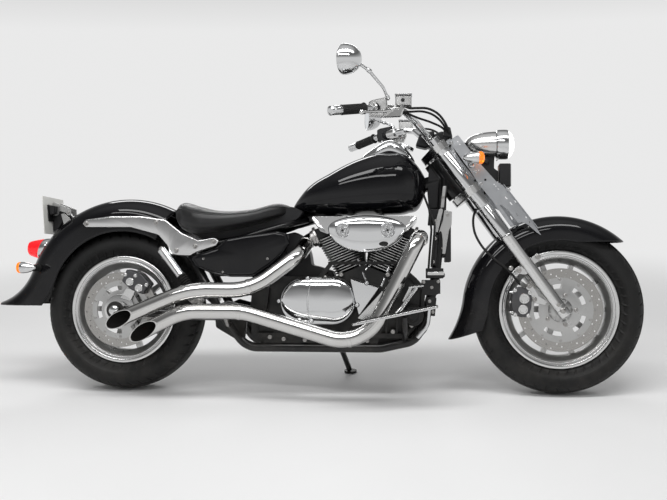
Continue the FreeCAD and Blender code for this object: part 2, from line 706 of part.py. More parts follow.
# Side stand: its pin stands square to the leg both when down and when folded back
STAND_FORWARD = math.radians(14)
STAND_OUT = math.radians(d.stand_splay)
STAND_DOWN = unit(Vector(math.sin(STAND_FORWARD), math.sin(STAND_OUT), -math.cos(STAND_OUT)))
STAND_FOLDED = unit(Vector(-0.98, 0.12, 0.1))
STAND_AXIS = unit(STAND_DOWN.cross(STAND_FOLDED))
STAND_ROOT = Vector(-30, d.rail_spread, d.rail_height)
STAND_PIVOT = STAND_ROOT + STAND_AXIS * 41


def frame_shape():
    """Steering head, backbone, cradle, seat rails and pivot plates as one welded piece."""
    head = rod(d.head_tube_radius, HEAD_LOW, HEAD_TOP)
    backbone = rod(d.backbone_radius, BACKBONE_FRONT, BACKBONE_REAR)
    pieces = [head, backbone]
    for side in (-1, 1):
        spread = side * d.rail_spread
        low_head = HEAD_LOW + STEERING_UP * 78
        cradle = [(low_head.x - 6, side * 16, low_head.z), (398, side * 60, 650),
                  (374, side * 92, 430), (336, spread, 280), (RAIL_FRONT[0], spread, RAIL_FRONT[1]),
                  (170, spread, d.rail_height), (-345, spread, d.rail_height),
                  (SWING_PIVOT.x - 50, spread, SWING_PIVOT.z + 20), (-575, side * d.subframe_spread, 552)]
        pieces.append(tube(cradle, d.rail_radius, [200, 500, 120, 70, 100, 90, 120]))
        rail = [(SEAT_RAIL[0][0], side * 30, SEAT_RAIL[0][1]),
                (SEAT_RAIL[0][0] - 90, side * d.subframe_spread, SEAT_RAIL[0][1] - 28),
                (SEAT_RAIL[1][0], side * d.subframe_spread, SEAT_RAIL[1][1]),
                (SEAT_RAIL[2][0] - 20, side * d.subframe_spread, SEAT_RAIL[2][1])]
        pieces.append(tube(rail, d.subframe_radius, [50, 300]))
        outline = [(SWING_PIVOT.x - 62, 250), (-352, 186), (-338, 330), (-420, 352), (-470, 330)]
        pieces.append(prism(outline, side * d.rail_spread - 7, side * d.rail_spread + 7, radius=12))
        boss_start = Vector(SWING_PIVOT.x, side * (SWING_HALF + d.seat_gap), SWING_PIVOT.z)
        pieces.append(rod(24, boss_start, Vector(SWING_PIVOT.x, side * d.rail_spread, SWING_PIVOT.z)))
    for x, z, half in CROSS_TUBES:
        pieces.append(rod(d.subframe_radius, (x, -half, z), (x, half, z)))
    pieces.append(rod(d.stand_pin_radius, STAND_ROOT, STAND_PIVOT + STAND_AXIS * 13))
    bore = rod(d.stem_radius + d.stem_clearance, HEAD_LOW - STEERING_UP * 40, HEAD_TOP + STEERING_UP * 10)
    return join(pieces).cut(bore)


frame = frame_shape()
node("frame", frame)


def swingarm_shape():
    """Pivot tube, a round right arm and the drive shaft's housing as left arm."""
    pivot = SWING_PIVOT
    axle = REAR_AXLE
    pieces = [rod(24, (pivot.x, -SWING_HALF, pivot.z), (pivot.x, SWING_HALF, pivot.z)),
              rod(20, (pivot.x - 60, -66, pivot.z), (pivot.x - 60, 66, pivot.z))]
    for side, radius in ((-1, d.arm_radius), (1, d.shaft_housing_radius)):
        run = [(pivot.x, side * 62, pivot.z), (pivot.x - 70, side * 62, pivot.z + 1),
               (pivot.x - 160, side * d.arm_spread, pivot.z + 6), (axle.x, side * d.arm_spread, axle.z)]
        pieces.append(tube(run, radius, [90, 90]))
        lug_end = Vector(SHOCK_FOOT.x, side * (SHOCK_Y - 14 - d.seat_gap), SHOCK_FOOT.z)
        lug_run = [(lug_end.x, side * 98, pivot.z + 4), (lug_end.x, side * 104, lug_end.z), lug_end]
        pieces.append(tube(lug_run, 14, [20]))
    pieces.append(rod(34, (axle.x, -d.arm_spread - d.arm_radius, axle.z),
                      (axle.x, -d.arm_spread + d.arm_radius, axle.z)))
    housing = d.shaft_housing_radius
    gear_case = [(-housing, 0), (-housing, 84), (4, 92), (22, 60), (housing + 6, 34), (housing + 6, 0)]
    pieces.append(lathe(gear_case, (axle.x, d.arm_spread, axle.z), ALONG_Y))
    bore = rod(d.axle_radius + d.axle_clearance, (axle.x, -300, axle.z), (axle.x, 300, axle.z))
    return join(pieces).cut(bore)


SHOCK_Y = 144
SHOCK_TOP = Vector(-672, -SHOCK_Y, 548)
SHOCK_FOOT = Vector(-520, -SHOCK_Y, 352)
swingarm = swingarm_shape()
node("swingarm", swingarm)


# Shocks, struts and rear brake

STRUT_INNER = d.subframe_spread + d.rail_radius + 2
STRUT_FACE = STRUT_INNER + d.strut_gauge


def shock_shape():
    """Right-hand spring cover and damper between the strut and the swingarm."""
    along = unit(SHOCK_FOOT - SHOCK_TOP)
    at_strut = Vector(SHOCK_TOP.x, -STRUT_FACE - d.seat_gap, SHOCK_TOP.z)
    return join([rod(13, at_strut, SHOCK_TOP - ALONG_Y * 14),
                 rod(16, SHOCK_TOP, SHOCK_TOP + along * 140),
                 rod(20, SHOCK_TOP + along * 132, SHOCK_TOP + along * 215),
                 rod(12, SHOCK_TOP + along * 210, SHOCK_FOOT),
                 rod(14, SHOCK_FOOT + ALONG_Y * 14, SHOCK_FOOT - ALONG_Y * 14)])


node("shock_absorbers", both_sides(shock_shape()))

STRUT_HOLES = about(REAR_AXLE, [(-129, 333), (150, 337)])
strut_outline = about(REAR_AXLE, [(-144, 336), (-132, 351), (-33, 364), (90, 364), (187, 349), (254, 297),
                                  (320, 269), (380, 281), (400, 265), (388, 247), (314, 224), (284, 209),
                                  (200, 213), (200, 245), (160, 291), (50, 321), (-132, 322)])
strut = prism(strut_outline, -STRUT_FACE, -STRUT_INNER, share=0.3)
for x, z in STRUT_HOLES:
    strut = strut.fuse(rod(10, (x, -STRUT_FACE + 1, z), (x, -REAR_FENDER_HALF - d.seat_gap, z)))
    strut = strut.cut(rod(4.3, (x, -STRUT_FACE - 5, z), (x, -REAR_FENDER_HALF, z)))
node("fender_struts", both_sides(strut))

caliper_outline = about(REAR_AXLE, [(14, 155), (90, 137), (122, 97), (98, 57), (50, 77), (8, 99)])
caliper = prism(caliper_outline, REAR_DISC_Y - 34, REAR_DISC_Y + 26, radius=12)
caliper_arm = prism(about(REAR_AXLE, [(5, 17), (38, 15), (78, 75), (38, 97)]), REAR_DISC_Y - 34,
                    REAR_DISC_Y - 24, radius=6)
caliper = caliper.fuse(caliper_arm).cut(swingarm)
node("rear_caliper", caliper.cut(disc_room(REAR_AXLE, d.rear_disc_radius, REAR_DISC_Y)))


# Tank, seat and covers

def body_loft(sections, profile):
    """Smooth solid through cross sections; profile turns a table row into (y, z) points."""
    wires = []
    for section in sections:
        points = [Vector(section[0], y, z) for y, z in profile(section)]
        wires.append(rounded(points, soft_radii(points, 0.46, True), True))
    return Part.makeLoft(wires, True, False)


def tank_profile(section):
    """Half pear: flat underneath, widest below the middle."""
    x, half, top, wide, bottom = section
    low = bottom + 0.35 * (wide - bottom)
    high = wide + 0.45 * (top - wide)
    right = [(-0.72 * half, bottom), (-half, low), (-0.98 * half, high), (-0.5 * half, top)]
    return right + [(-y, z) for y, z in reversed(right)]


# Tank sections: x, half width, top, height of the widest line, bottom
TANK = [
    (-176, 40, 727, 712, 698),
    (-120, 92, 792, 742, 691),
    (-30, 138, 849, 764, 685),
    (80, 164, 902, 780, 682),
    (190, 170, 926, 792, 684),
    (272, 148, 910, 800, 692),
    (316, 102, 866, 802, 712),
    (340, 44, 834, 804, 756),
]
tank = body_loft(TANK, tank_profile)
tunnel_half = d.backbone_radius + d.seat_gap
backbone_room = rod(tunnel_half, BACKBONE_FRONT, BACKBONE_REAR)
tunnel = prism([(BACKBONE_FRONT.x + 10, BACKBONE_FRONT.z), (BACKBONE_REAR.x - 40, BACKBONE_REAR.z - 10),
                (BACKBONE_REAR.x - 40, 560), (BACKBONE_FRONT.x + 10, 560)], -tunnel_half, tunnel_half)
tank = tank.cut(backbone_room.fuse(tunnel))
node("fuel_tank", tank)


# Console sections: x, half width, top, bottom
CONSOLE = [
    (86, 22, 912, 880),
    (130, 46, 942, 880),
    (205, 58, 976, 880),
    (258, 50, 948, 880),
    (297, 30, 906, 880),
]


def console_profile(section):
    """Rounded pod."""
    x, half, top, bottom = section
    shoulder = 0.95 * half
    return [(-half, bottom), (-shoulder, top - 8), (0, top + 3), (shoulder, top - 8), (half, bottom)]


console = body_loft(CONSOLE, console_profile)
node("tank_console", console.cut(body_loft(TANK, tank_profile)))


def seat_profile(section):
    """Saddle: skirts at the sides, dished on top."""
    x, half, top, bottom, dish = section
    right = [(-0.62 * half, bottom), (-half, bottom + 6), (-0.97 * half, top - 22), (-0.55 * half, top + 2)]
    return right + [(0, top - dish)] + [(-y, z) for y, z in reversed(right)]


# Seat sections: x, half width, top, bottom, dish
SEAT = [
    (-182, 78, 728, 684, 2),
    (-230, 105, 734, 668, 3),
    (-330, 140, 712, 640, 6),
    (-450, 165, 708, 618, 8),
    (-560, 160, 730, 612, 6),
    (-612, 130, 742, 630, 4),
    (-646.5, 80, 722, 668, 2),
]
node("seat", body_loft(SEAT, seat_profile))

cover_outline = [(-557, 517), (-449, 581), (-344, 602), (-221, 617), (-184, 608), (-174, 571),
                 (-197, 535), (-243, 489), (-313, 443), (-402, 443), (-477, 457), (-534, 480)]
COVER_INNER = STRUT_FACE - 2
side_cover = prism(cover_outline, -COVER_INNER, -d.cover_face, share=0.42)
side_cover = side_cover.makeFillet(14, edges_at(side_cover, -d.cover_face))
side_cover = side_cover.cut(prism(strut_outline, -STRUT_FACE - d.seat_gap, -STRUT_INNER, share=0.3))
BESIDE_SEAT_RAIL = d.subframe_spread + d.subframe_radius + d.seat_gap
cover_peg = rod(6, (-300, -COVER_INNER - 1, 604), (-300, -BESIDE_SEAT_RAIL, 604))
node("side_covers", both_sides(side_cover.fuse(cover_peg)))

node("battery_box", block((-480, -80, 445.3), (-200, 80, 570)))


# Rear lamps and plate

REAR_LAMP = REAR_AXLE + Vector(-336, 0, 255)
LAMP_WAY = Vector(-1, 0, -0.12)
inside = rod(REAR_CROWN, REAR_FENDER_CENTRE - ALONG_Y * 300, REAR_FENDER_CENTRE + ALONG_Y * 300)
lamp_base = lathe([(-10, 0), (-10, 32), (22, 38), (34, 36), (34, 0)], REAR_LAMP, LAMP_WAY).cut(inside)
node("tail_lamp_lens", lathe([(34.3, 0), (34.3, 37), (60, 34), (74, 22), (78, 0)], REAR_LAMP, LAMP_WAY))

plate = DOC.addObject("Part::Box", "number_plate_sheet")
plate.Length = 3
plate.Width = 200
plate.Height = 150
adopt("number_plate", plate, Placement(REAR_AXLE + Vector(-311, -100, 299), Rotation(ALONG_Y, -4)))
stay_outline = about(REAR_AXLE, [(-307.5, 303), (-314, 420), (-280, 420), (-222, 375), (-240, 295)])
stay = prism(stay_outline, -30, 30)


def bullet(centre, facing, length, radius):
    """Bullet-shaped lamp body with its open face at the centre."""
    profile = [(0, 0), (0, radius), (-0.3 * length, radius), (-0.7 * length, 0.72 * radius),
               (-0.93 * length, 0.34 * radius), (-length, 0)]
    return lathe(profile, centre, facing)


REAR_SIGNAL = REAR_AXLE + Vector(-366, -180, 164)
rear_bullet = bullet(REAR_SIGNAL, -ALONG_X, 60, 20)
stalk_x = REAR_SIGNAL.x + 36
stalk = rod(8, (stalk_x, -82, REAR_SIGNAL.z), (stalk_x, -170, REAR_SIGNAL.z)).cut(rear_fender)
stalk = largest(stalk)
rear_signal = rear_bullet.fuse(stalk)
lamp_bodies = [lamp_base, stay.cut(inside), rear_signal, mirrored(rear_signal)]
node("rear_lamp_bodies", Part.makeCompound(lamp_bodies))
rear_lens = lathe([(0.3, 0), (0.3, 20), (10, 18), (14, 0)], REAR_SIGNAL, -ALONG_X)
node("rear_indicator_lenses", both_sides(rear_lens))


# Foot controls and stand

# Floorboard edge-on: rear end, front end
BOARD = [(79, 277), (379, 341)]
BOARD_INNER = -272
BOARD_OUTER = -362


def board_slab(start, end, low, high, top, bottom):
    """Slab that follows the floorboard's slope between two X values."""
    slope = (BOARD[1][1] - BOARD[0][1]) / (BOARD[1][0] - BOARD[0][0])
    heights = [BOARD[0][1] + slope * (x - BOARD[0][0]) for x in (start, end)]
    return prism([(start, heights[0] + bottom), (start, heights[0] + top), (end, heights[1] + top),
                  (end, heights[1] + bottom)], low, high)


board = board_slab(BOARD[0][0], BOARD[1][0], BOARD_OUTER, BOARD_INNER, 5, -5)
ledge = board_slab(214, 352, BOARD_INNER - 2, -226, -1, -9)
arm = tube([(262, -BESIDE_RAIL + 8, 203), (262, -196, 245), (262, -256, 303)], 10, [60]).cut(frame)
arm = largest(arm)
guard = tube([(350, -145, 334), (344, -145, 264), (305, -145, 218)], 9, [60])
guard = guard.fuse(rod(7, (346, -145, 300), (342, -118, 300)))
guard = largest(guard.cut(frame))
floorboard = join([board, ledge, arm])
node("floorboards", Part.makeCompound([floorboard, mirrored(floorboard), guard, mirrored(guard)]))
pedal_foot = Vector(232, -248, 309.2)
pedal_head = pedal_foot + Vector(72, 6, 98)
lever_arm = rod(8, pedal_foot, pedal_head)
lever_arm = lever_arm.cut(board_slab(150, 352, -300, -200, -1 + d.seat_gap, -60))
pad = block((pedal_head.x - 26, -270, pedal_head.z - 4), (pedal_head.x + 26, -216, pedal_head.z + 8))
peg = rod(10, pedal_head + ALONG_Y * 24, pedal_head - ALONG_Y * 24)
node("foot_levers", Part.makeCompound([lever_arm.fuse(pad), mirrored(lever_arm.fuse(peg))]))

def stand_foot():
    """Centre of the foot: along the leg until the leaned foot meets the ground."""
    lift = STANCE.Rotation.multVec(STAND_PIVOT).z + STANCE.Base.z
    drop = -STANCE.Rotation.multVec(STAND_DOWN).z
    return STAND_PIVOT + STAND_DOWN * (lift / drop)


FOOT = stand_foot()
leg = rod(d.stand_radius, STAND_PIVOT, FOOT - STAND_DOWN * 15)
foot_pad = Part.makeCylinder(26, 9)
foot_pad.Placement = Placement(FOOT, STANCE.Rotation.inverted())
stand = join([leg, foot_pad, rod(17, STAND_PIVOT - STAND_AXIS * 12, STAND_PIVOT + STAND_AXIS * 12)])
pin_room = rod(d.stand_pin_radius + d.stand_clearance, STAND_ROOT, STAND_PIVOT + STAND_AXIS * 40)
node("side_stand", stand.cut(pin_room))


# Fork

# Handlebar run from its centre: ahead, outward, up, arc radius
BAR_CENTRE = fork(-18, 0, d.fork_top + 24)
BAR_RUN = [(0, 62, 0, 30), (-50, 120, 52, 30), (-88, 215, 72, 60), (-210, 330, 65, 120), (-336, 450, 35, 0)]
bar_right = [BAR_CENTRE + Vector(ahead, -out, up) for ahead, out, up, bend in BAR_RUN]
bar_left = [BAR_CENTRE + Vector(ahead, out, up) for ahead, out, up, bend in BAR_RUN]
bar_points = list(reversed(bar_right)) + bar_left
half_bends = [bend for ahead, out, up, bend in BAR_RUN[:-1]]
bar_bends = list(reversed(half_bends)) + half_bends
bar_points[0] = bar_points[0] + unit(bar_points[1] - bar_points[0]) * 8
bar_points[-1] = bar_points[-1] + unit(bar_points[-2] - bar_points[-1]) * 8
handlebar = tube(bar_points, d.bar_radius, bar_bends)
bar_room = tube(bar_points, d.bar_radius + d.seat_gap, bar_bends)


def clamp_shape(at, reach):
    """Triple clamp across the legs, in fork coordinates."""
    stem = -d.steering_setback
    leg = -d.leg_setback
    outline = [Vector(stem - 25, -24, at), Vector(leg - 22, -LEG_Y - reach, at),
               Vector(leg + 30, -LEG_Y - reach, at), Vector(leg + 34, -LEG_Y + 30, at),
               Vector(stem + 46, -20, at)]
    outline += [Vector(p.x, -p.y, at) for p in reversed(outline)]
    face = Part.Face(rounded(outline, soft_radii(outline, 0.4, True), True))
    return face.extrude(Vector(0, 0, d.clamp_height))


def fork_local(shape):
    """Shape drawn in fork coordinates, put on the motorcycle."""
    shape.Placement = FORK.multiply(shape.Placement)
    return shape


lower = clamp_shape(d.lower_clamp_at, 34)
upper = clamp_shape(d.upper_clamp_at, 30)
stem = Part.makeCylinder(d.stem_radius, d.upper_clamp_at - d.lower_clamp_at,
                         Vector(-d.steering_setback, 0, d.lower_clamp_at))
clamps = join([lower, upper, stem])
for side in (-1, 1):
    clamps = clamps.cut(Part.makeCylinder(d.shroud_radius + d.seat_gap, 400,
                                          Vector(-d.leg_setback, side * LEG_Y, d.lower_clamp_at - 60)))
for side in (-1, 1):
    clamps = clamps.fuse(Part.makeCylinder(17, d.fork_top + 40 - d.upper_clamp_at,
                                           Vector(-18, side * 42, d.upper_clamp_at + 4)))
clamps = fork_local(clamps.removeSplitter()).cut(bar_room)
node("triple_clamps", clamps)

legs = []
axle_in_fork = FORK.inverse().multVec(FRONT_AXLE)
for side in (-1, 1):
    foot = Vector(-d.leg_setback, side * LEG_Y, 0)
    steps = [(d.slider_radius, -20, d.slider_top),
             (d.slider_radius - 3, d.slider_top, d.shroud_bottom),
             (d.shroud_radius, d.shroud_bottom, d.shroud_top + 32),
             (d.stanchion_radius, d.shroud_top + 32, d.fork_top)]
    leg = join([Part.makeCylinder(radius, high - low, foot + ALONG_Z * low) for radius, low, high in steps])
    leg = leg.cut(rod(d.axle_radius + d.axle_clearance, axle_in_fork + ALONG_Y * side * 60,
                      axle_in_fork + ALONG_Y * side * 200))
    legs.append(fork_local(leg))
stay_outline = about(FORK_FOOT, [(-222, 200), (-150, 276), (-86, 268), (-108, 180), (-128, 135),
                                 (-160, 120), (-190, 150)])
stay = prism(stay_outline,
             -LEG_Y + d.slider_radius + d.seat_gap, -FRONT_FENDER_HALF - d.seat_gap, radius=10)
node("fork_legs", Part.makeCompound(legs + [stay, mirrored(stay)]))

# Side plate outline in fork coordinates: ahead of the fork line, up the fork
PLATE = [(32, 764), (74, 763), (76, 617), (84, 530), (96, 518), (101, 409), (101, 272), (90, 280),
         (82, 338), (42, 458), (30, 487)]


def fork_prism(outline, low, high, radius=0, share=0):
    """Prism drawn in fork coordinates (ahead, up)."""
    return fork_local(prism(outline, low, high, radius, share))


PLATE_Y = LEG_Y - 20
plate_right = fork_prism(PLATE, -PLATE_Y - d.plate_gauge, -PLATE_Y, radius=3)
flange = fork_prism([(98, 518), (101, 518), (101, 290), (98, 290)], -PLATE_Y - 12, -PLATE_Y - 1)
holders = [fork_prism([(18, low), (44, low), (44, low + 18), (18, low + 18)], -PLATE_Y - 1, -PLATE_Y + 12)
           for low in (d.lower_clamp_at + 6, d.upper_clamp_at + 3)]
plates = join([plate_right, flange] + holders).cut(clamps)

GRIP_END = bar_right[-1]
GRIP_INWARD = unit(bar_right[-2] - GRIP_END)
CAP_LENGTH = 46
GRIP_LENGTH = 128
cap = rod(d.grip_radius, GRIP_END, GRIP_END + GRIP_INWARD * CAP_LENGTH).cut(bar_room)
grip_start = GRIP_END + GRIP_INWARD * (CAP_LENGTH + d.seat_gap)
grip = rod(d.grip_radius + 1, grip_start, grip_start + GRIP_INWARD * (GRIP_LENGTH - 20)).cut(bar_room)
node("handlebar", Part.makeCompound([handlebar, cap, mirrored(cap)]))
node("grips", both_sides(grip))

BEND = bar_right[-2]
CONTROL_INWARD = unit(bar_right[-3] - BEND)


def control_shape():
    """Right-hand switch housing, master cylinder and lever."""
    housing = rod(22, BEND + CONTROL_INWARD * 14, BEND + CONTROL_INWARD * 66)
    clamp = rod(19, BEND + CONTROL_INWARD * 66, BEND + CONTROL_INWARD * 112)
    tank_base = BEND + CONTROL_INWARD * 96 + Vector(14, 0, 14)
    reservoir = block(tank_base - ALONG_Y * 24, tank_base + Vector(62, 24, 42))
    reservoir = reservoir.makeFillet(5, reservoir.Edges)
    root = tank_base + Vector(28, -6, -10)
    perch = rod(11, root + ALONG_Z * 14, root - ALONG_Z * 22)
    arm = rod(8, BEND + CONTROL_INWARD * 90, root - ALONG_Z * 6)
    knee = root + Vector(-60, -88, -26)
    tip = Vector(BEND.x - 18, BEND.y - 108, BEND.z - 34)
    lever = taper(8, 6.5, root - ALONG_Z * 12, knee)
    blade = taper(6.5, 5, knee, tip)
    ball = Part.makeSphere(9, tip)
    knuckle = Part.makeSphere(6.6, knee)
    return join([housing, clamp, reservoir, perch, arm, lever, knuckle, blade, ball]).cut(bar_room)


control = control_shape()
node("hand_controls", both_sides(control))

# Mirror stems from the perch outward: X, Y, Z on the right-hand side
MIRROR_ROOT = BEND + CONTROL_INWARD * 40 + Vector(0, 0, 21)
RIGHT_MIRROR = [MIRROR_ROOT, Vector(203, -302, 1085), Vector(190, -338, 1112), Vector(142, -392, 1162),
                Vector(108, -410, 1184)]
LEFT_MIRROR = [Vector(MIRROR_ROOT.x, -MIRROR_ROOT.y, MIRROR_ROOT.z), Vector(204, 300, 1080),
               Vector(196, 348, 1096), Vector(162, 394, 1116), Vector(140, 408, 1126)]


def bullet_profile(length, radius):
    """Bullet from its open face backwards."""
    return [(0, 0), (0, radius), (-0.12 * length, radius), (-0.4 * length, 0.9 * radius),
            (-0.7 * length, 0.66 * radius), (-0.92 * length, 0.32 * radius), (-length, 0)]


def mirror_shape(points, facing):
    """Jointed stem and a bullet head whose glass faces the rider."""
    stem = tube(points[:3], 5, [8])
    arm = rod(5, points[2], points[3])
    neck = rod(5.5, points[3], points[4])
    knuckles = [Part.makeSphere(8.5, points[2]), Part.makeSphere(8.5, points[3])]
    centre = points[4] + Vector(-34, -7 * (1 if points[4].y < 0 else -1), 14)
    head = lathe(bullet_profile(66, 54), centre + unit(facing) * 22, facing)
    return join([stem, arm, neck, head] + knuckles)


right_mirror = mirror_shape(RIGHT_MIRROR, Vector(-0.92, 0.38, 0.09)).cut(control)
left_mirror = mirror_shape(LEFT_MIRROR, Vector(-0.92, -0.38, 0)).cut(mirrored(control))
node("mirrors", Part.makeCompound([right_mirror, left_mirror]))

# Headlight
LAMP_REAR = fork(81, 0, 725.6)
LAMP_RADIUS = 58
shell = lathe([(0, 0), (0, 9), (24, 30), (70, 45), (120, 50), (122, 57), (172, LAMP_RADIUS), (180, 55),
               (180, 52), (150, 52), (150, 0)], LAMP_REAR, ALONG_X)
node("headlight_shell", shell)
node("headlight_lens", lathe([(150.3, 0), (150.3, 51.7), (180, 51.7), (187, 40), (191, 20), (192, 0)],
                             LAMP_REAR, ALONG_X))
bracket_outline = about(LAMP_REAR, [(-8, -212), (72, -154), (130, -142), (130, -104), (114, -92), (116, -32),
                                    (72, -32), (58, -104)])
lamp_bracket = prism(bracket_outline, -13, 13, radius=4)
whole_lamp = rod(LAMP_RADIUS + d.seat_gap, LAMP_REAR + ALONG_X * 120, LAMP_REAR + ALONG_X * 200)
lamp_bracket = lamp_bracket.cut(shell).cut(whole_lamp).cut(clamps)
node("fork_plates", Part.makeCompound([plates, mirrored(plates), lamp_bracket]))
relay_box = block((LAMP_REAR.x + 130 + d.seat_gap, -42, LAMP_REAR.z - 168),
                  (LAMP_REAR.x + 176, 42, LAMP_REAR.z - 75))
node("relay_box", relay_box.makeFillet(6, relay_box.Edges))

SIGNAL = fork(73, -190, 640)
signal = lathe(bullet_profile(61, 22), SIGNAL, ALONG_X)
signal_stalk = rod(8, (SIGNAL.x - 25, -PLATE_Y - d.plate_gauge - d.seat_gap, SIGNAL.z),
                   (SIGNAL.x - 25, -176, SIGNAL.z))
node("front_indicators", both_sides(signal.fuse(signal_stalk)))
front_lens = lathe([(0.3, 0), (0.3, 23), (14, 23), (20, 15), (22, 0)], SIGNAL, ALONG_X)
node("front_indicator_lenses", both_sides(front_lens))


# Front brake
caliper_outline = about(FORK_FOOT, [(-202, -20), (-190, 76), (-150, 94), (-114, 64), (-112, -20),
                                    (-150, -44)])
caliper = prism(caliper_outline, FRONT_DISC_Y - 34, FRONT_DISC_Y + 27, radius=14)
caliper_arm = prism(about(FORK_FOOT, [(-122, -2), (-42, 10), (-68, 70), (-122, 64)]), FRONT_DISC_Y - 34,
                    FRONT_DISC_Y - 16)
caliper = caliper.fuse(caliper_arm)
front_room = disc_room(FRONT_AXLE, d.front_disc_radius, FRONT_DISC_Y)
node("front_caliper", caliper.cut(front_room).cut(legs[0]))

# Cooler, horn and regulator ahead of the engine
cooler = prism([(407, 566), (416, 565), (438, 690), (412, 693)], -76, 76)
for x, z in ((384, 590), (396, 665)):
    for side in (-1, 1):
        cooler = cooler.fuse(block((x, side * 68 - 8, z - 8), (x + 24, side * 68 + 8, z + 8)))
node("oil_cooler", largest(cooler.cut(frame)))
horn = lathe([(0, 0), (0, 20), (6, 36), (16, 37), (26, 33), (34, 14), (44, 12), (44, 0)],
             (376, 0, FRONT_TUBE_HEIGHT + d.subframe_radius + d.seat_gap), ALONG_Z)
regulator = block((350, -45, FRONT_TUBE_HEIGHT - 46),
                  (394, 45, FRONT_TUBE_HEIGHT - d.subframe_radius - d.seat_gap))
node("horn_and_regulator", Part.makeCompound([horn, regulator]))

# Hoses, in fork coordinates below the handlebar
hose_points = [Vector(288, -262, 1090), Vector(332, -214, 1092), Vector(388, -150, 1072), fork(60, -92, 800),
               fork(34, -72, 712), fork(34, -74, 610), fork(33, -76, 532), fork(-8, -82, 508),
               fork(-58, -88, 482), fork(-92, -98, 434), fork(-104, -108, 370), fork(-94, -110, 300),
               fork(-78, -104, 240), fork(-76, -101, 172)]
hose = tube(hose_points, 4.5, limp_bends(hose_points))
cable_points = [BEND + CONTROL_INWARD * 44 - ALONG_Z * 24, BEND + CONTROL_INWARD * 90 + Vector(14, -12, -40),
                Vector(322, -165, 1040), Vector(372, -118, 1028), fork(30, -88, 842), fork(6, -80, 812),
                fork(6, -80, d.upper_clamp_at + d.clamp_height + d.seat_gap)]
cable = largest(tube(cable_points, 5, limp_bends(cable_points)).cut(control))
node("hoses", Part.makeCompound([hose, cable, mirrored(cable)]))

DOC.recompute()
for feature in DOC.Objects:
    if "Invalid" in feature.State or "Error" in feature.State:
        raise ValueError(feature.Name + " failed")
os.makedirs("parts", exist_ok=True)
for piece in NODES:
    if piece.Shape.isNull() or not piece.Shape.isValid():
        raise ValueError(piece.Label + " has no valid shape")
    piece.Shape.exportStep("parts/" + piece.Label + ".step")
    print(piece.Label, len(piece.Shape.Solids), round(piece.Shape.Volume / 1000), "cm3")
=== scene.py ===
"""A cruiser motorcycle with a V-twin engine, leaned on its side stand on a pale studio floor.

Shapes are worked out in millimetres on the upright motorcycle: X forward, Y left, Z up, the
origin on the ground half-way between the axles. lean() then puts them where the solids stand.
"""
import json
import math

import bmesh
import bpy
import numpy as np
from mathutils import Matrix


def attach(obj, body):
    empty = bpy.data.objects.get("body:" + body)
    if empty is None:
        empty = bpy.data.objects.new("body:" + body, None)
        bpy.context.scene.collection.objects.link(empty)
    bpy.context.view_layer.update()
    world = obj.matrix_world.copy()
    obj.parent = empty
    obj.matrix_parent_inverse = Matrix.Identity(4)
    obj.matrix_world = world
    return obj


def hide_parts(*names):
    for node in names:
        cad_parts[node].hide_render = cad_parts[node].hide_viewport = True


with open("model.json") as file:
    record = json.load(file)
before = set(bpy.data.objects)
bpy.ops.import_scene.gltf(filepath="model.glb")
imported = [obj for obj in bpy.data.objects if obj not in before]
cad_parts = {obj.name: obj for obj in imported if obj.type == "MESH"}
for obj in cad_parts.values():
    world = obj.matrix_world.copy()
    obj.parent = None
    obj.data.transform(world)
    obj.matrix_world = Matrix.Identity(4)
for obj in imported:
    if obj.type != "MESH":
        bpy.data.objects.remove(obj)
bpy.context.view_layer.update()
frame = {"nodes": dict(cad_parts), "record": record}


# Stance: the machine rests 9 degrees to its left. The camera leans with it, level with the
# tank and a little toward the rear, as a photographer crouches beside the engine.

LEAN = math.radians(9)
STANCE_SHIFT = np.array([103.5, -158.468, 1.016])
STANCE_TURN = np.array([[1, 0, 0], [0, math.cos(LEAN), math.sin(LEAN)], [0, -math.sin(LEAN), math.cos(LEAN)]])
ALONG_X = np.array([1.0, 0.0, 0.0])
ALONG_Y = np.array([0.0, 1.0, 0.0])
ALONG_Z = np.array([0.0, 0.0, 1.0])


def lean(points):
    """Upright millimetres to leaned metres: a turn about the forward axis, then a shift."""
    return (np.asarray(points, float) @ STANCE_TURN.T + STANCE_SHIFT) / 1000


def unit(vector):
    """A vector divided by its length, row by row."""
    vector = np.asarray(vector, float)
    return vector / np.linalg.norm(vector, axis=-1, keepdims=True)


EYE = (316.5, -3370.0, 458.0)
YAW = math.radians(5.73)
PITCH = math.radians(1.53)
LENS = 46.5
look = np.array([-math.sin(YAW) * math.cos(PITCH), math.cos(YAW) * math.cos(PITCH), math.sin(PITCH)])
sideways = np.array([math.cos(YAW), math.sin(YAW), 0.0])
axes = np.stack([sideways, np.cross(sideways, look), -look]) @ STANCE_TURN.T
placed = np.eye(4)
placed[:3, :3] = axes.T
placed[:3, 3] = lean(EYE)
camera = bpy.data.objects.new("camera", bpy.data.cameras.new("camera"))
camera.data.lens = LENS
camera.data.clip_end = 200
camera.matrix_world = Matrix(placed.tolist())
bpy.context.scene.collection.objects.link(camera)
bpy.context.scene.camera = camera
bpy.context.scene.view_settings.view_transform = "Standard"


# Studio: a pale floor that runs out to a pale horizon, one broad overhead light, a weaker
# one behind the camera and a narrow one from behind, which draws the edges.

PALE = 0.82


def add(tree, kind, inputs=None, **settings):
    """A shader node: settings are its own fields; inputs are set, or linked from a socket."""
    made = tree.nodes.new(kind)
    for field, value in settings.items():
        setattr(made, field, value)
    for key, value in (inputs or {}).items():
        if isinstance(value, bpy.types.NodeSocket):
            tree.links.new(value, made.inputs[key])
        else:
            made.inputs[key].default_value = value
    return made


def calc(tree, operation, first, second=0.5, clamp=False):
    """One sum on numbers or sockets."""
    inputs = {0: first, 1: second}
    return add(tree, "ShaderNodeMath", inputs, operation=operation, use_clamp=clamp).outputs[0]


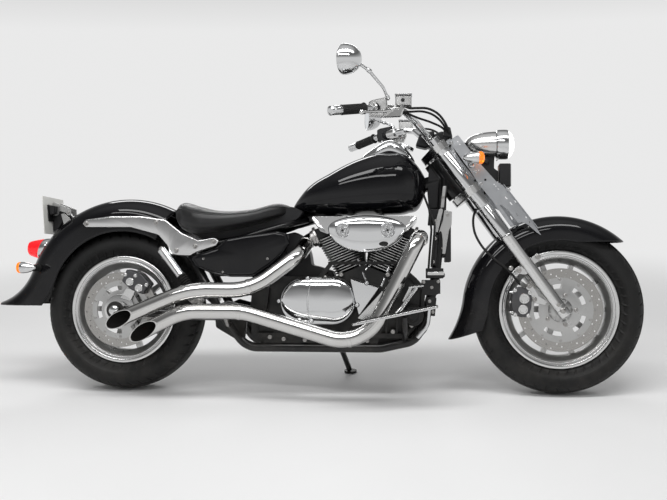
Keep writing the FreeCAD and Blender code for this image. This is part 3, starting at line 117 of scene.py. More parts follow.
def remap(tree, value, low, high, to_low=0.0, to_high=1.0):
    """A value between two limits moved to two others, with soft ends."""
    inputs = {"Value": value, "From Min": low, "From Max": high, "To Min": to_low, "To Max": to_high}
    return add(tree, "ShaderNodeMapRange", inputs, interpolation_type="SMOOTHSTEP").outputs["Result"]


def ramp(tree, value, stops):
    """Colours by position along a value; a stop is (position, grey or colour)."""
    made = add(tree, "ShaderNodeValToRGB", {"Fac": value})
    elements = made.color_ramp.elements
    while len(elements) < len(stops):
        elements.new(0.5)
    for element, (position, tone) in zip(elements, stops):
        element.position = position
        element.color = (tone, tone, tone, 1) if isinstance(tone, float) else (*tone, 1)
    return made.outputs["Color"]


def seen_rays(tree):
    """1 for rays from the camera, off a gloss or through glass, else 0."""
    path = add(tree, "ShaderNodeLightPath").outputs
    direct = calc(tree, "MAXIMUM", path["Is Camera Ray"], path["Is Glossy Ray"])
    return calc(tree, "MAXIMUM", direct, path["Is Transmission Ray"])


def make_world():
    """Seen sky: pale at the horizon, darker above, so that bright metal has something to show."""
    world = bpy.data.worlds.new("studio")
    world.use_nodes = True
    tree = world.node_tree
    tree.nodes.clear()
    way = add(tree, "ShaderNodeTexCoord").outputs["Generated"]
    height = add(tree, "ShaderNodeSeparateXYZ", {0: way}).outputs["Z"]
    stops = [(0.0, PALE), (0.12, PALE), (0.26, 0.42), (0.48, 0.16), (0.72, 0.22), (1.0, 0.75)]
    sky = ramp(tree, height, stops)
    seen = add(tree, "ShaderNodeBackground", {"Color": sky, "Strength": 1.0})
    light = add(tree, "ShaderNodeBackground", {"Color": (1, 1, 1, 1), "Strength": 0.42})
    mixed = add(tree, "ShaderNodeMixShader", {0: seen_rays(tree), 1: light.outputs[0], 2: seen.outputs[0]})
    add(tree, "ShaderNodeOutputWorld", {"Surface": mixed.outputs[0]})
    bpy.context.scene.world = world


def area_light(name, place, aim, width, height, power):
    """Rectangular lamp at a place in leaned metres, facing an aim."""
    lamp = bpy.data.lights.new(name, "AREA")
    lamp.shape = "RECTANGLE"
    lamp.size = width
    lamp.size_y = height
    lamp.energy = power
    made = bpy.data.objects.new(name, lamp)
    back = unit(np.array(place) - np.array(aim))
    side = unit(np.cross(ALONG_Z, back) + ALONG_X * 1e-6)
    matrix = np.eye(4)
    matrix[:3, :3] = np.stack([side, np.cross(back, side), back], axis=1)
    matrix[:3, 3] = place
    made.matrix_world = Matrix(matrix.tolist())
    bpy.context.scene.collection.objects.link(made)


make_world()
area_light("overhead", (0.1, -1.2, 3.1), (0.0, -0.1, 0.6), 3.8, 0.6, 66)
area_light("side_strip", (-0.5, -3.0, 3.1), (0.0, 0.0, 0.5), 3.6, 0.4, 36)
area_light("edge", (-0.8, 3.0, 2.3), (0.0, 0.0, 0.6), 3.0, 0.5, 30)


FLOOR_SIDES = 96
FLOOR_RADIUS = 70
FLOOR_LEVEL = -0.0008


def make_floor():
    """Level disc under the tyres; its far part has the horizon's colour."""
    turn = np.linspace(0, 2 * math.pi, FLOOR_SIDES, endpoint=False)
    rim = np.stack([np.cos(turn) * FLOOR_RADIUS, np.sin(turn) * FLOOR_RADIUS,
                    np.full(FLOOR_SIDES, FLOOR_LEVEL)], axis=1)
    mesh = bpy.data.meshes.new("studio_floor")
    mesh.from_pydata(rim.tolist(), [], [list(range(FLOOR_SIDES))])
    made = bpy.data.objects.new("studio_floor", mesh)
    bpy.context.scene.collection.objects.link(made)
    paint = bpy.data.materials.new("studio_floor")
    paint.use_nodes = True
    tree = paint.node_tree
    where = add(tree, "ShaderNodeTexCoord").outputs["Object"]
    bsdf = tree.nodes["Principled BSDF"]
    patches = add(tree, "ShaderNodeTexNoise", {"Vector": where, "Scale": 0.9, "Detail": 3.0}).outputs["Fac"]
    tone = ramp(tree, patches, [(0.3, PALE - 0.02), (0.7, PALE + 0.01)])
    tree.links.new(tone, bsdf.inputs["Base Color"])
    bsdf.inputs["Roughness"].default_value = 0.55
    bsdf.inputs["Specular IOR Level"].default_value = 0.2
    distance = add(tree, "ShaderNodeVectorMath", {0: where}, operation="LENGTH").outputs["Value"]
    far = calc(tree, "MULTIPLY", remap(tree, distance, 1.7, 4.6), seen_rays(tree))
    horizon = add(tree, "ShaderNodeEmission", {"Color": (PALE, PALE, PALE, 1), "Strength": 1.0})
    mixed = add(tree, "ShaderNodeMixShader", {0: far, 1: bsdf.outputs[0], 2: horizon.outputs[0]})
    tree.links.new(mixed.outputs[0], tree.nodes["Material Output"].inputs["Surface"])
    mesh.materials.append(paint)


make_floor()


# Finishes shared by many pieces. Each effect is a node group: the wiping marks on bright
# metal, the grain of castings and mouldings and the film of road dust; a Bevel node rounds corners.

def new_group(name, inputs, outputs):
    """Empty node group with named sockets; returns it with its inner input and output nodes."""
    tree = bpy.data.node_groups.new(name, "ShaderNodeTree")
    for socket, kind, value in inputs:
        made = tree.interface.new_socket(socket, in_out="INPUT", socket_type="NodeSocket" + kind)
        made.default_value = value
    for socket, kind in outputs:
        tree.interface.new_socket(socket, in_out="OUTPUT", socket_type="NodeSocket" + kind)
    return tree, tree.nodes.new("NodeGroupInput").outputs, tree.nodes.new("NodeGroupOutput").inputs


def make_wiping_marks():
    """Roughness that drifts between two values in cloth-wide patches, with fine hairlines."""
    inputs = [("Where", "Vector", (0, 0, 0)), ("Size", "Float", 9.0), ("Low", "Float", 0.05),
              ("High", "Float", 0.15)]
    tree, given, result = new_group("wiping_marks", inputs, [("Roughness", "Float"), ("Height", "Float")])
    patches = add(tree, "ShaderNodeTexNoise", {"Vector": given["Where"], "Scale": given["Size"],
                                               "Detail": 4.0, "Roughness": 0.62}).outputs["Fac"]
    fine_size = calc(tree, "MULTIPLY", given["Size"], 34.0)
    stretch = add(tree, "ShaderNodeVectorMath", {0: given["Where"], 1: (1.0, 1.0, 0.12)},
                  operation="MULTIPLY").outputs[0]
    hairs = add(tree, "ShaderNodeTexNoise", {"Vector": stretch, "Scale": fine_size,
                                             "Detail": 2.0}).outputs["Fac"]
    blend = calc(tree, "ADD", calc(tree, "MULTIPLY", patches, 0.82), calc(tree, "MULTIPLY", hairs, 0.18))
    tree.links.new(remap(tree, blend, 0.36, 0.66, given["Low"], given["High"]), result["Roughness"])
    tree.links.new(hairs, result["Height"])
    return tree


def make_grain():
    """Small uneven bumps and a slight change of tone with them."""
    inputs = [("Where", "Vector", (0, 0, 0)), ("Size", "Float", 400.0),
              ("Colour", "Color", (0.5, 0.5, 0.5, 1)),
              ("Spread", "Float", 0.15)]
    tree, given, result = new_group("grain", inputs, [("Colour", "Color"), ("Height", "Float")])
    fine = add(tree, "ShaderNodeTexNoise", {"Vector": given["Where"], "Scale": given["Size"], "Detail": 3.0,
                                            "Roughness": 0.6}).outputs["Fac"]
    broad = add(tree, "ShaderNodeTexNoise", {"Vector": given["Where"], "Scale": calc(tree, "MULTIPLY",
                given["Size"], 0.035), "Detail": 3.0}).outputs["Fac"]
    mean = calc(tree, "ADD", calc(tree, "MULTIPLY", fine, 0.4), calc(tree, "MULTIPLY", broad, 0.6))
    low = calc(tree, "SUBTRACT", 1.0, given["Spread"])
    high = calc(tree, "ADD", 1.0, given["Spread"])
    factor = remap(tree, mean, 0.3, 0.7, low, high)
    toned = add(tree, "ShaderNodeVectorMath", {0: given["Colour"], "Scale": factor}, operation="SCALE")
    tree.links.new(toned.outputs[0], result["Colour"])
    tree.links.new(fine, result["Height"])
    return tree


def make_road_film():
    """Grey-brown dust, thick near the ground and gone at the given height, in soft patches."""
    inputs = [("Where", "Vector", (0, 0, 0)), ("Colour", "Color", (0.5, 0.5, 0.5, 1)),
              ("Roughness", "Float", 0.3), ("Amount", "Float", 0.3), ("Top", "Float", 0.5)]
    tree, given, result = new_group("road_film", inputs, [("Colour", "Color"), ("Roughness", "Float")])
    height = add(tree, "ShaderNodeSeparateXYZ", {0: given["Where"]}).outputs["Z"]
    fall = calc(tree, "SUBTRACT", 1.0, calc(tree, "DIVIDE", height, given["Top"]), clamp=True)
    patches = add(tree, "ShaderNodeTexNoise", {"Vector": given["Where"], "Scale": 14.0, "Detail": 5.0,
                                               "Roughness": 0.65}).outputs["Fac"]
    cover = calc(tree, "MULTIPLY", fall, remap(tree, patches, 0.32, 0.72))
    cover = calc(tree, "MULTIPLY", cover, given["Amount"], clamp=True)
    dust = (0.27, 0.245, 0.21, 1)
    mixed = add(tree, "ShaderNodeMix", {"Factor": cover, 6: given["Colour"], 7: dust}, data_type="RGBA")
    tree.links.new(mixed.outputs[2], result["Colour"])
    rough = add(tree, "ShaderNodeMix", {"Factor": cover, 2: given["Roughness"], 3: 0.85}, data_type="FLOAT")
    tree.links.new(rough.outputs[0], result["Roughness"])
    return tree


wiping_marks = make_wiping_marks()
grain = make_grain()
road_film = make_road_film()


def use_group(tree, group, inputs):
    """A placed node group with its inputs set or linked; returns its outputs."""
    made = tree.nodes.new("ShaderNodeGroup")
    made.node_tree = group
    for key, value in inputs.items():
        if isinstance(value, bpy.types.NodeSocket):
            tree.links.new(value, made.inputs[key])
        else:
            made.inputs[key].default_value = value
    return made.outputs


def finish(name, **sockets):
    """New Principled material whose constant sockets are set by name, spaces as underscores."""
    made = bpy.data.materials.new(name)
    made.use_nodes = True
    bsdf = made.node_tree.nodes["Principled BSDF"]
    for socket, value in sockets.items():
        bsdf.inputs[socket.replace("_", " ")].default_value = value
    return made, made.node_tree, bsdf, add(made.node_tree, "ShaderNodeTexCoord").outputs["Object"]


def surface_bump(tree, bsdf, height, depth, corner=0.0):
    """Raises the surface by a height, over corners rounded by a radius in metres."""
    inputs = {"Height": height, "Distance": depth}
    if corner:
        inputs["Normal"] = add(tree, "ShaderNodeBevel", {"Radius": corner}, samples=4).outputs["Normal"]
    tree.links.new(add(tree, "ShaderNodeBump", inputs).outputs["Normal"], bsdf.inputs["Normal"])


def bright_metal(name, colour, low, high, size=9.0, corner=0.0008, film=0.0):
    """Plated or polished metal: wiping marks in its gloss, dust towards the ground."""
    made, tree, bsdf, where = finish(name, Metallic=1.0)
    marks = use_group(tree, wiping_marks, {"Where": where, "Size": size, "Low": low, "High": high})
    dusty = use_group(tree, road_film, {"Where": where, "Colour": (*colour, 1),
                                        "Roughness": marks["Roughness"],
                                        "Amount": film, "Top": 0.55})
    tree.links.new(dusty["Colour"], bsdf.inputs["Base Color"])
    tree.links.new(dusty["Roughness"], bsdf.inputs["Roughness"])
    surface_bump(tree, bsdf, marks["Height"], 0.000004, corner)
    return made


def cast_or_moulded(name, colour, roughness, grain_size, depth, spread=0.15, corner=0.001, film=0.25,
                    **sockets):
    """Grained surface: cast metal, moulded plastic or crackle enamel, with dust towards the ground."""
    made, tree, bsdf, where = finish(name, **sockets)
    fine = use_group(tree, grain, {"Where": where, "Size": grain_size, "Colour": (*colour, 1),
                                   "Spread": spread})
    dusty = use_group(tree, road_film, {"Where": where, "Colour": fine["Colour"], "Roughness": roughness,
                                        "Amount": film, "Top": 0.6})
    tree.links.new(dusty["Colour"], bsdf.inputs["Base Color"])
    tree.links.new(dusty["Roughness"], bsdf.inputs["Roughness"])
    surface_bump(tree, bsdf, fine["Height"], depth, corner)
    return made


def gloss_paint(name, colour, film=0.04):
    """Deep paint under a clear coat, with a trace of orange peel."""
    made, tree, bsdf, where = finish(name, Coat_Weight=0.62, Coat_Roughness=0.015, Coat_IOR=1.5,
                                     Specular_IOR_Level=0.0)
    fine = use_group(tree, grain, {"Where": where, "Size": 240.0, "Colour": (*colour, 1), "Spread": 0.25})
    dusty = use_group(tree, road_film, {"Where": where, "Colour": fine["Colour"], "Roughness": 0.4,
                                        "Amount": film, "Top": 0.7})
    tree.links.new(dusty["Colour"], bsdf.inputs["Base Color"])
    tree.links.new(dusty["Roughness"], bsdf.inputs["Roughness"])
    surface_bump(tree, bsdf, fine["Height"], 0.000006)
    return made


chrome = bright_metal("chrome_plate", (0.63, 0.635, 0.64), 0.03, 0.10)
soft_chrome = bright_metal("chrome_plate_softened", (0.62, 0.62, 0.62), 0.13, 0.24)
pipe_chrome = bright_metal("exhaust_chrome", (0.61, 0.605, 0.595), 0.04, 0.12, size=6.0, film=0.18)
polished_alloy = bright_metal("polished_alloy", (0.66, 0.66, 0.655), 0.14, 0.26, size=12.0)
satin_alloy = bright_metal("satin_alloy", (0.50, 0.50, 0.495), 0.26, 0.40, size=16.0, film=0.15)
bare_steel = bright_metal("bare_steel", (0.42, 0.41, 0.40), 0.24, 0.38, size=18.0, film=0.3)
black_gloss = gloss_paint("body_black", (0.0045, 0.0045, 0.0055))
frame_black = cast_or_moulded("frame_enamel", (0.006, 0.006, 0.0065), 0.30, 260.0, 0.00003, Coat_Weight=0.35,
                              Coat_Roughness=0.12, Specular_IOR_Level=0.2, film=0.12)
engine_black = cast_or_moulded("engine_crackle_enamel", (0.009, 0.009, 0.009), 0.42, 520.0, 0.00012,
                               film=0.12, Specular_IOR_Level=0.3)
black_plastic = cast_or_moulded("black_plastic", (0.010, 0.010, 0.011), 0.44, 700.0, 0.00006, film=0.12,
                                Specular_IOR_Level=0.3)
soft_rubber = cast_or_moulded("soft_rubber", (0.010, 0.010, 0.010), 0.66, 500.0, 0.00005, corner=0.0006,
                              film=0.12, Specular_IOR_Level=0.3)
dark_alloy = cast_or_moulded("dark_caliper_alloy", (0.09, 0.09, 0.095), 0.38, 420.0, 0.00005, Metallic=0.8)
brushed_plate = bright_metal("brushed_steel_plate", (0.43, 0.44, 0.455), 0.30, 0.42, size=22.0)
plate_white = cast_or_moulded("plate_blank", (0.66, 0.66, 0.63), 0.35, 300.0, 0.00001, spread=0.04,
                              corner=0.0005, film=0.1)


# Pieces whose solid has the right form keep it. A merged copy stands in its place, so that
# its round faces shade smoothly and only its real corners stay crisp.

body_of_node = {name: body for body,
                names in frame["record"]["behaviour"]["bodies"].items() for name in names}


def placed_piece(name, mesh, material, body, replaced=()):
    """Links a finished mesh as a piece of the object that moves with a body."""
    made = bpy.data.objects.new(name, mesh)
    bpy.context.scene.collection.objects.link(made)
    mesh.materials.clear()
    mesh.materials.append(material)
    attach(made, body)
    if replaced:
        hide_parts(*replaced)
    return made


def smooth_faces(mesh, angle):
    """Smooth shading with corners sharper than the angle kept crisp."""
    mesh.shade_smooth()
    mesh.set_sharp_from_angle(angle=math.radians(angle))


def merged(mesh, reach, closed=False):
    """Joins points nearer than a reach; a closed skin also has its ends filled, faces outward."""
    joined = bmesh.new()
    joined.from_mesh(mesh)
    bmesh.ops.remove_doubles(joined, verts=joined.verts, dist=reach)
    bmesh.ops.dissolve_degenerate(joined, edges=joined.edges, dist=reach)
    if closed:
        bmesh.ops.holes_fill(joined, edges=[edge for edge in joined.edges if edge.is_boundary], sides=0)
        bmesh.ops.recalc_face_normals(joined, faces=joined.faces)
    joined.to_mesh(mesh)
    joined.free()


SOLID_REACH = 0.00002
SKIN_REACH = 0.000004


def dressed(node, material, angle=28):
    """Merged, smoothly shaded copy of a solid, in its place."""
    mesh = frame["nodes"][node].data.copy()
    merged(mesh, SOLID_REACH)
    smooth_faces(mesh, angle)
    return placed_piece(node + "_dressed", mesh, material, body_of_node[node], [node])


# Frame, swingarm and stand: welded steel tube, black enamel, bolted together at the pivots.

dressed("frame", frame_black)
dressed("swingarm", frame_black)
dressed("side_stand", frame_black)
dressed("battery_box", black_plastic)


def grid_faces(rows, columns, start=0, round_rows=False):
    """Quads between neighbours of a grid whose columns go round; round rows close it to a ring."""
    index = start + np.arange(rows * columns).reshape(rows, columns)
    index = np.hstack([index, index[:, :1]])
    if round_rows:
        index = np.vstack([index, index[:1]])
    corners = [index[:-1, :-1], index[1:, :-1], index[1:, 1:], index[:-1, 1:]]
    return np.stack(corners, axis=-1).reshape(-1, 4)


def capped(grid):
    """Adds the mean point of each end row beyond it, where the skin then closes."""
    first = np.broadcast_to(grid[0].mean(axis=0), grid[:1].shape)
    last = np.broadcast_to(grid[-1].mean(axis=0), grid[:1].shape)
    return np.concatenate([first, grid, last])


def skin_mesh(name, grids, angle=35):
    """Mesh from round grids of upright points: equal points merged, ends filled, faces outward."""
    points = []
    faces = []
    start = 0
    for grid in grids:
        rows, columns = grid.shape[:2]
        points.append(grid.reshape(-1, 3))
        faces.append(grid_faces(rows, columns, start))
        start += rows * columns
    mesh = bpy.data.meshes.new(name)
    mesh.from_pydata(lean(np.concatenate(points)).tolist(), [], np.concatenate(faces).tolist())
    merged(mesh, SKIN_REACH, closed=True)
    smooth_faces(mesh, angle)
    return mesh


def shaped_piece(name, grids, angle, material, body, replaced=()):
    """Skins grids into one mesh and places it as a piece of the object."""
    return placed_piece(name, skin_mesh(name, grids, angle), material, body, replaced)


def turned(profile, base, way, count=64):
    """Surface of revolution: profile rows (along, radius) swept round a line from base along way."""
    profile = np.array(profile, float)
    way = unit(way)
    side = unit(np.cross(way, ALONG_Z if abs(way[2]) < 0.9 else ALONG_X))
    turn = np.linspace(0, 2 * math.pi, count, endpoint=False)[:, None]
    spokes = np.cos(turn) * side + np.sin(turn) * np.cross(way, side)
    return np.array(base, float) + profile[:, 0, None, None] * way + profile[:, 1, None, None] * spokes


def softened(points, rounds=2, closed=False):
    """Cuts each corner at a quarter of its two sides, so many times over."""
    points = np.array(points, float)
    for _ in range(rounds):
        following = np.roll(points, -1, axis=0) if closed else points[1:]
        here = points if closed else points[:-1]
        cut = np.stack([0.75 * here + 0.25 * following, 0.25 * here + 0.75 * following], axis=1)
        cut = cut.reshape(-1, points.shape[1])
        points = cut if closed else np.concatenate([points[:1], cut, points[-1:]])
    return points


BOLT = [(0, 0), (0, 1.25), (0.25, 1.25), (0.25, 1.0), (0.9, 1.0), (1.05, 0.82), (1.05, 0.45), (0.55, 0.42),
        (0.55, 0)]


def bolt_heads(centres, way, radius, sides=6):
    """Flanged heads with a socket, one at each centre, made as small turned grids."""
    profile = np.array(BOLT) * radius
    return [turned(profile, centre, way, sides * 2) for centre in centres]


# Tank: pressed steel in two halves, welded under the lower edge, deep black with a clear coat.
# Its cross section is a pear that changes along the machine; the badge places are left bare.

# Tank sections: x, half width, top, height of the widest line, bottom
TANK = np.array([
    (-176, 40, 727, 712, 698),
    (-120, 92, 792, 742, 691),
    (-30, 138, 849, 764, 685),
    (80, 164, 902, 780, 682),
    (190, 170, 926, 792, 684),
    (272, 148, 910, 800, 692),
    (316, 102, 866, 802, 712),
    (340, 44, 834, 804, 756),
], float)


def eased(at, positions, values):
    """Cubic curve through table values, its slope at each taken from its neighbours."""
    slope = np.gradient(values, positions)
    low = np.clip(np.searchsorted(positions, at) - 1, 0, len(positions) - 2)
    step = positions[low + 1] - positions[low]
    t = (at - positions[low]) / step
    start = (1 + 2 * t) * (1 - t) ** 2 * values[low] + t * (1 - t) ** 2 * step * slope[low]
    finish = t * t * (3 - 2 * t) * values[low + 1] + t * t * (t - 1) * step * slope[low + 1]
    return start + finish


def power(value, share):
    """Keeps the sign of a value and raises its size to a power."""
    return np.sign(value) * np.abs(value) ** share


def ended(count, low, high, roundness=26):
    """Stations between two ends, crowded towards them, and how far each section is drawn in."""
    t = -np.cos(np.linspace(0, math.pi, count))
    return (low + high) / 2 + (high - low) / 2 * t, np.sqrt(np.clip(1 - np.abs(t) ** roundness, 0, 1))


def tank_skin(rows=150, columns=112):
    """Superellipse sections: flatter above the shoulder, full below it."""
    x, drawn = ended(rows, -180, 344)
    inside = np.clip(x, -176, 340)
    half, top, wide, low = [eased(inside, TANK[:, 0], TANK[:, n])[:, None] for n in (1, 2, 3, 4)]
    turn = np.linspace(0, 2 * math.pi, columns, endpoint=False)[None, :]
    above = np.sin(turn) > 0
    side = power(np.cos(turn), np.where(above, 0.90, 0.72))
    rise = power(np.sin(turn), np.where(above, 0.88, 0.70))
    height = np.where(above, (top - wide) * rise, (wide - low) * rise)
    drawn = drawn[:, None]
    return np.stack([np.broadcast_to(x[:, None], height.shape), half * side * drawn,
                     wide + height * drawn], axis=-1)


shaped_piece("tank_skin", [capped(tank_skin())], 60, black_gloss, "chassis", ["fuel_tank"])


# Console: a chrome pod along the top of the tank that carries the speedometer and the filler.

CONSOLE = np.array([
    (86, 22, 912),
    (130, 46, 942),
    (205, 58, 976),
    (258, 50, 948),
    (297, 30, 906),
], float)


def console_skin(rows=90, columns=72):
    """Arched sections whose feet run down inside the tank's top."""
    x, drawn = ended(rows, 84, 299, 14)
    inside = np.clip(x, 86, 297)
    half, top = [eased(inside, CONSOLE[:, 0], CONSOLE[:, n])[:, None] for n in (1, 2)]
    turn = np.linspace(0, 2 * math.pi, columns, endpoint=False)[None, :]
    above = np.sin(turn) > 0
    side = power(np.cos(turn), 0.8)
    rise = power(np.sin(turn), 0.8)
    middle = top - 0.62 * half
    height = np.where(above, (top - middle) * rise, 34 * rise)
    drawn = drawn[:, None]
    return np.stack([np.broadcast_to(x[:, None], height.shape), half * side * drawn,
                     middle + height * drawn], axis=-1)


shaped_piece("console_pod", [capped(console_skin())], 60, chrome, "chassis", ["tank_console"])


# Fenders: pressed steel shells with a rolled edge. A section of crown arc, corner arcs and
# straight skirts goes round the wheel and then flares outward at the lower end.

def fender_profile(crown, lip, half_width, steps):
    """Section as (radius, across): straight skirt, corner arc, crown arc and back."""
    corner = 0.51 * half_width
    arch = 1.38 * half_width
    corner_y = half_width - corner
    corner_r = crown - arch + math.sqrt((arch - corner) ** 2 - corner_y ** 2)
    lean_out = math.atan2(corner_y, corner_r - (crown - arch))
    skirt = np.linspace(0, 1, steps)[:-1, None] * [corner_r - lip, 0] + [lip, half_width]
    bend = np.linspace(math.pi / 2, lean_out, steps)[:-1]
    rounding = np.stack([corner_r + corner * np.cos(bend), corner_y + corner * np.sin(bend)], axis=1)
    over = np.linspace(lean_out, 0, steps)
    arc = np.stack([crown - arch + arch * np.cos(over), arch * np.sin(over)], axis=1)
    half = np.concatenate([skirt, rounding, arc])
    return np.concatenate([half, half[-2::-1] * [1, -1]])


def swept(profile, centre, start, stop, flare_radius, flare_angle, share):
    """Places profile points at a share of the sweep: 0 to 1 round the wheel, 1 to 2 in the flare."""
    radius, across = profile[:, 0], profile[:, 1]
    angle = np.radians(start + (stop - start) * np.clip(share, 0, 1))
    out = np.stack([np.cos(angle), np.zeros_like(angle), np.sin(angle)], axis=-1)
    main = centre + out * radius[:, None]
    crown = profile[:, 0].max()
    last = math.radians(stop)
    away = np.array([math.cos(last), 0, math.sin(last)])
    pivot = centre + away * (crown + flare_radius)
    back = np.radians(flare_angle * np.clip(share - 1, 0, 1))
    swung = -np.stack([np.cos(last - back), np.zeros_like(back), np.sin(last - back)], axis=-1)
    flare = pivot + swung * (crown + flare_radius - radius)[:, None]
    points = np.where((share > 1)[:, None], flare, main)
    return points + np.stack([np.zeros_like(across), across, np.zeros_like(across)], axis=-1)


def fender_grid(profile, place, nose, tail, rows):
    """Rows from a share of the sweep at the nose to one at the tail, both given per profile point."""
    steps = np.linspace(0, 1, rows)
    return np.stack([place(profile, nose + (tail - nose) * step) for step in steps])


def first_share(profile, place, is_out, low, high, samples=400):
    """Where each profile point first meets a limit on its way from one share to another."""
    trial = np.linspace(low, high, samples)
    reached = np.stack([is_out(place(profile, np.full(len(profile), share))) for share in trial])
    return trial[np.argmax(reached, axis=0)]


def sheet_mesh(name, grid, angle=40):
    """Open grid without a wall, which thicken() adds."""
    rows, columns = grid.shape[:2]
    index = np.arange(rows * columns).reshape(rows, columns)
    corners = [index[:-1, :-1], index[1:, :-1], index[1:, 1:], index[:-1, 1:]]
    mesh = bpy.data.meshes.new(name)
    mesh.from_pydata(lean(grid.reshape(-1, 3)).tolist(), [],
                     np.stack(corners, axis=-1).reshape(-1, 4).tolist())
    smooth_faces(mesh, angle)
    return mesh


def thicken(piece, thickness):
    """Wall of a sheet, grown to its inner side by a Solidify modifier."""
    wall = piece.modifiers.new("wall", "SOLIDIFY")
    wall.thickness = thickness / 1000
    wall.offset = -1
    wall.use_even_offset = True


def carried(path, radius, count=24):
    """Tube round a path: rings square to it, kept from twisting by turning each from the last."""
    path = np.array(path, float)
    way = unit(np.gradient(path, axis=0))
    side = unit(np.cross(way[0], ALONG_Y if abs(way[0][1]) < 0.9 else ALONG_X))
    sides = []
    for along in way:
        side = unit(side - along * np.dot(side, along))
        sides.append(side)
    sides = np.array(sides)
    turn = np.linspace(0, 2 * math.pi, count, endpoint=False)[None, :, None]
    radius = np.broadcast_to(np.asarray(radius, float), (len(path),))[:, None, None]
    others = np.cross(way, sides)
    return path[:, None] + radius * (np.cos(turn) * sides[:, None] + np.sin(turn) * others[:, None])


FENDER_WALL = 3
FRONT_FENDER_CENTRE = np.array([838.0, 0.0, 316.0])
REAR_FENDER_CENTRE = np.array([-842.0, 0.0, 338.0])


def place_front(profile, share):
    """Front fender's sweep: up from ahead of the axle, over the wheel and down behind it."""
    return swept(profile, FRONT_FENDER_CENTRE, 45.7, 172.8, 380, 27, share)


def place_rear(profile, share):
    """Rear fender's sweep: from under the seat, over the wheel and out into the tail."""
    return swept(profile, REAR_FENDER_CENTRE, 61.8, 160.5, 220, 50.5, share)


front_profile = fender_profile(357, 266, 88, 10)
rear_profile = fender_profile(413, 285, 108, 10)
front_nose = first_share(front_profile, place_front, lambda p: (p[:, 2] > 576) | (p[:, 0] < 860), 0, 1)
front_tail = first_share(front_profile, place_front, lambda p: p[:, 2] < 188 + (p[:, 0] - 380) / 3, 0.9, 2)
front_tail = np.where(front_tail <= 0.9, 2.0, front_tail)
rear_nose = np.zeros(len(rear_profile))
rear_tail = first_share(rear_profile, place_rear, lambda p: (p[:, 2] < 333) & (p[:, 0] < -1000), 0.3, 2)
rear_tail = np.where(rear_tail <= 0.3, 2.0, rear_tail)
fenders = [
    ("front_fender", front_profile, place_front, front_nose, front_tail, "front_fork"),
    ("rear_fender", rear_profile, place_rear, rear_nose, rear_tail, "chassis"),
]
for name, profile, place, nose, tail, body in fenders:
    shell = fender_grid(profile, place, nose, tail, 150)
    shell[:, :, 1] *= -1
    made = placed_piece(name + "_shell", sheet_mesh(name + "_shell", shell), black_gloss, body,
                        [name])
    thicken(made, FENDER_WALL)
    around = np.concatenate([shell[:, 0], shell[-1, 1:], shell[-2::-1, -1], shell[0, -2:0:-1]])
    inset = around * [1, 1 - 1.6 / 108, 1]
    bead = skin_mesh(name + "_bead", [carried(np.concatenate([inset, inset[:2]]), 2.6, 8)], 60)
    placed_piece(name + "_bead", bead, black_gloss, body)


# Exhausts: two chromed steel pipes bent round the engine's right side, the ends cut on a slant.
# A pipe is a ring carried along runs and arcs; its last rings slide to meet the slanted plane.

PIPE_RADIUS = 29.0
SLASH = unit([-0.38, -0.92, -0.1])


def bent(points, bends, arc_steps=22, run_steps=10):
    """Centre line of a bent pipe: straight runs joined by tangent arcs, as dense points."""
    points = np.array(points, float)
    line = [points[:1]]
    here = points[0]
    for before, corner, after, radius in zip(points[:-2], points[1:-1], points[2:], bends):
        back = unit(before - corner)
        on = unit(after - corner)
        half = math.acos(np.clip(np.dot(back, on), -1, 1)) / 2
        reach = radius / math.tan(half)
        centre = corner + unit(back + on) * radius / math.sin(half)
        start = corner + back * reach
        steps = np.linspace(0, 1, run_steps)[1:, None]
        line.append(here + (start - here) * steps)
        spin = np.linspace(0, 1, arc_steps)[1:, None] * (math.pi - 2 * half)
        line.append(centre + (start - centre) * np.cos(spin) - back * radius * np.sin(spin))
        here = corner + on * reach
    steps = np.linspace(0, 1, run_steps)[1:, None]
    line.append(here + (points[-1] - here) * steps)
    return np.concatenate(line)


CRANK_X = 105
CRANK_Z = 338


def cylinder_local(lean_angle, forward, left, up):
    """Upright point given in a cylinder's own frame: up its bore from the crankshaft."""
    turn = math.radians(lean_angle)
    return np.array([CRANK_X + forward * math.cos(turn) + up * math.sin(turn), left + 0 * up,
                     CRANK_Z - forward * math.sin(turn) + up * math.cos(turn)])


def port(facing):
    """Centre of an exhaust port and its way out; facing is -1 behind and 1 ahead."""
    tilt = facing * 22.5
    centre = cylinder_local(tilt, facing * 68.3, -45, 310)
    return centre, cylinder_local(tilt, facing * 69.3, -45, 310) - centre


def slash_cut_pipe(points, bends):
    """Outer skin, lip and bore of a pipe, whose last rings slide along it to a slanted plane, and a
    thin black cup that lines the bore: sooty walls, and painted shade across its closed inner end."""
    end = np.array(points[-1], float)
    along = unit(end - np.array(points[-2], float))
    cut_at = end - along * 58
    path = bent(list(points[:-1]) + [end - along * 170], bends)
    outer = carried(path, PIPE_RADIUS, 56)
    spokes = outer[-1] - path[-1]

    def slid(narrowing, share, further=0.0):
        """Last ring, narrowed and moved a share of its way to the plane, and further in mm."""
        ring = path[-1] + spokes * narrowing
        reach = (cut_at - ring) @ SLASH / (along @ SLASH)
        return ring + (reach * share + further)[:, None] * along

    skin = [slid(1.0, share) for share in np.linspace(0, 1, 24)[1:]]
    lip = [slid(0.985, 1.0, 0.9), slid(0.96, 1.0, 1.3), slid(0.93, 1.0, 0.8)]
    bore = [slid(0.914, share) for share in np.linspace(1, 0, 14)] + [slid(0.914, 0.0, -60)]
    # Black lining cup, closed at its inner end: sooty walls, and painted shade where the pipe runs on in
    # shadow.
    soot_and_shade = [slid(0.86, 0.0, -52)] + [slid(0.86, share, -1) for share in np.linspace(0, 1, 14)]
    soot_and_shade += [slid(0.908, share, -1) for share in np.linspace(1, 0, 14)] + [slid(0.908, 0.0, -58)]
    return np.concatenate([outer, np.stack(skin + lip + bore)]), np.stack(soot_and_shade)


def looped(grid):
    """Repeats the first row at the end, so that a turned or carried band closes on itself."""
    return np.concatenate([grid, grid[:1]])


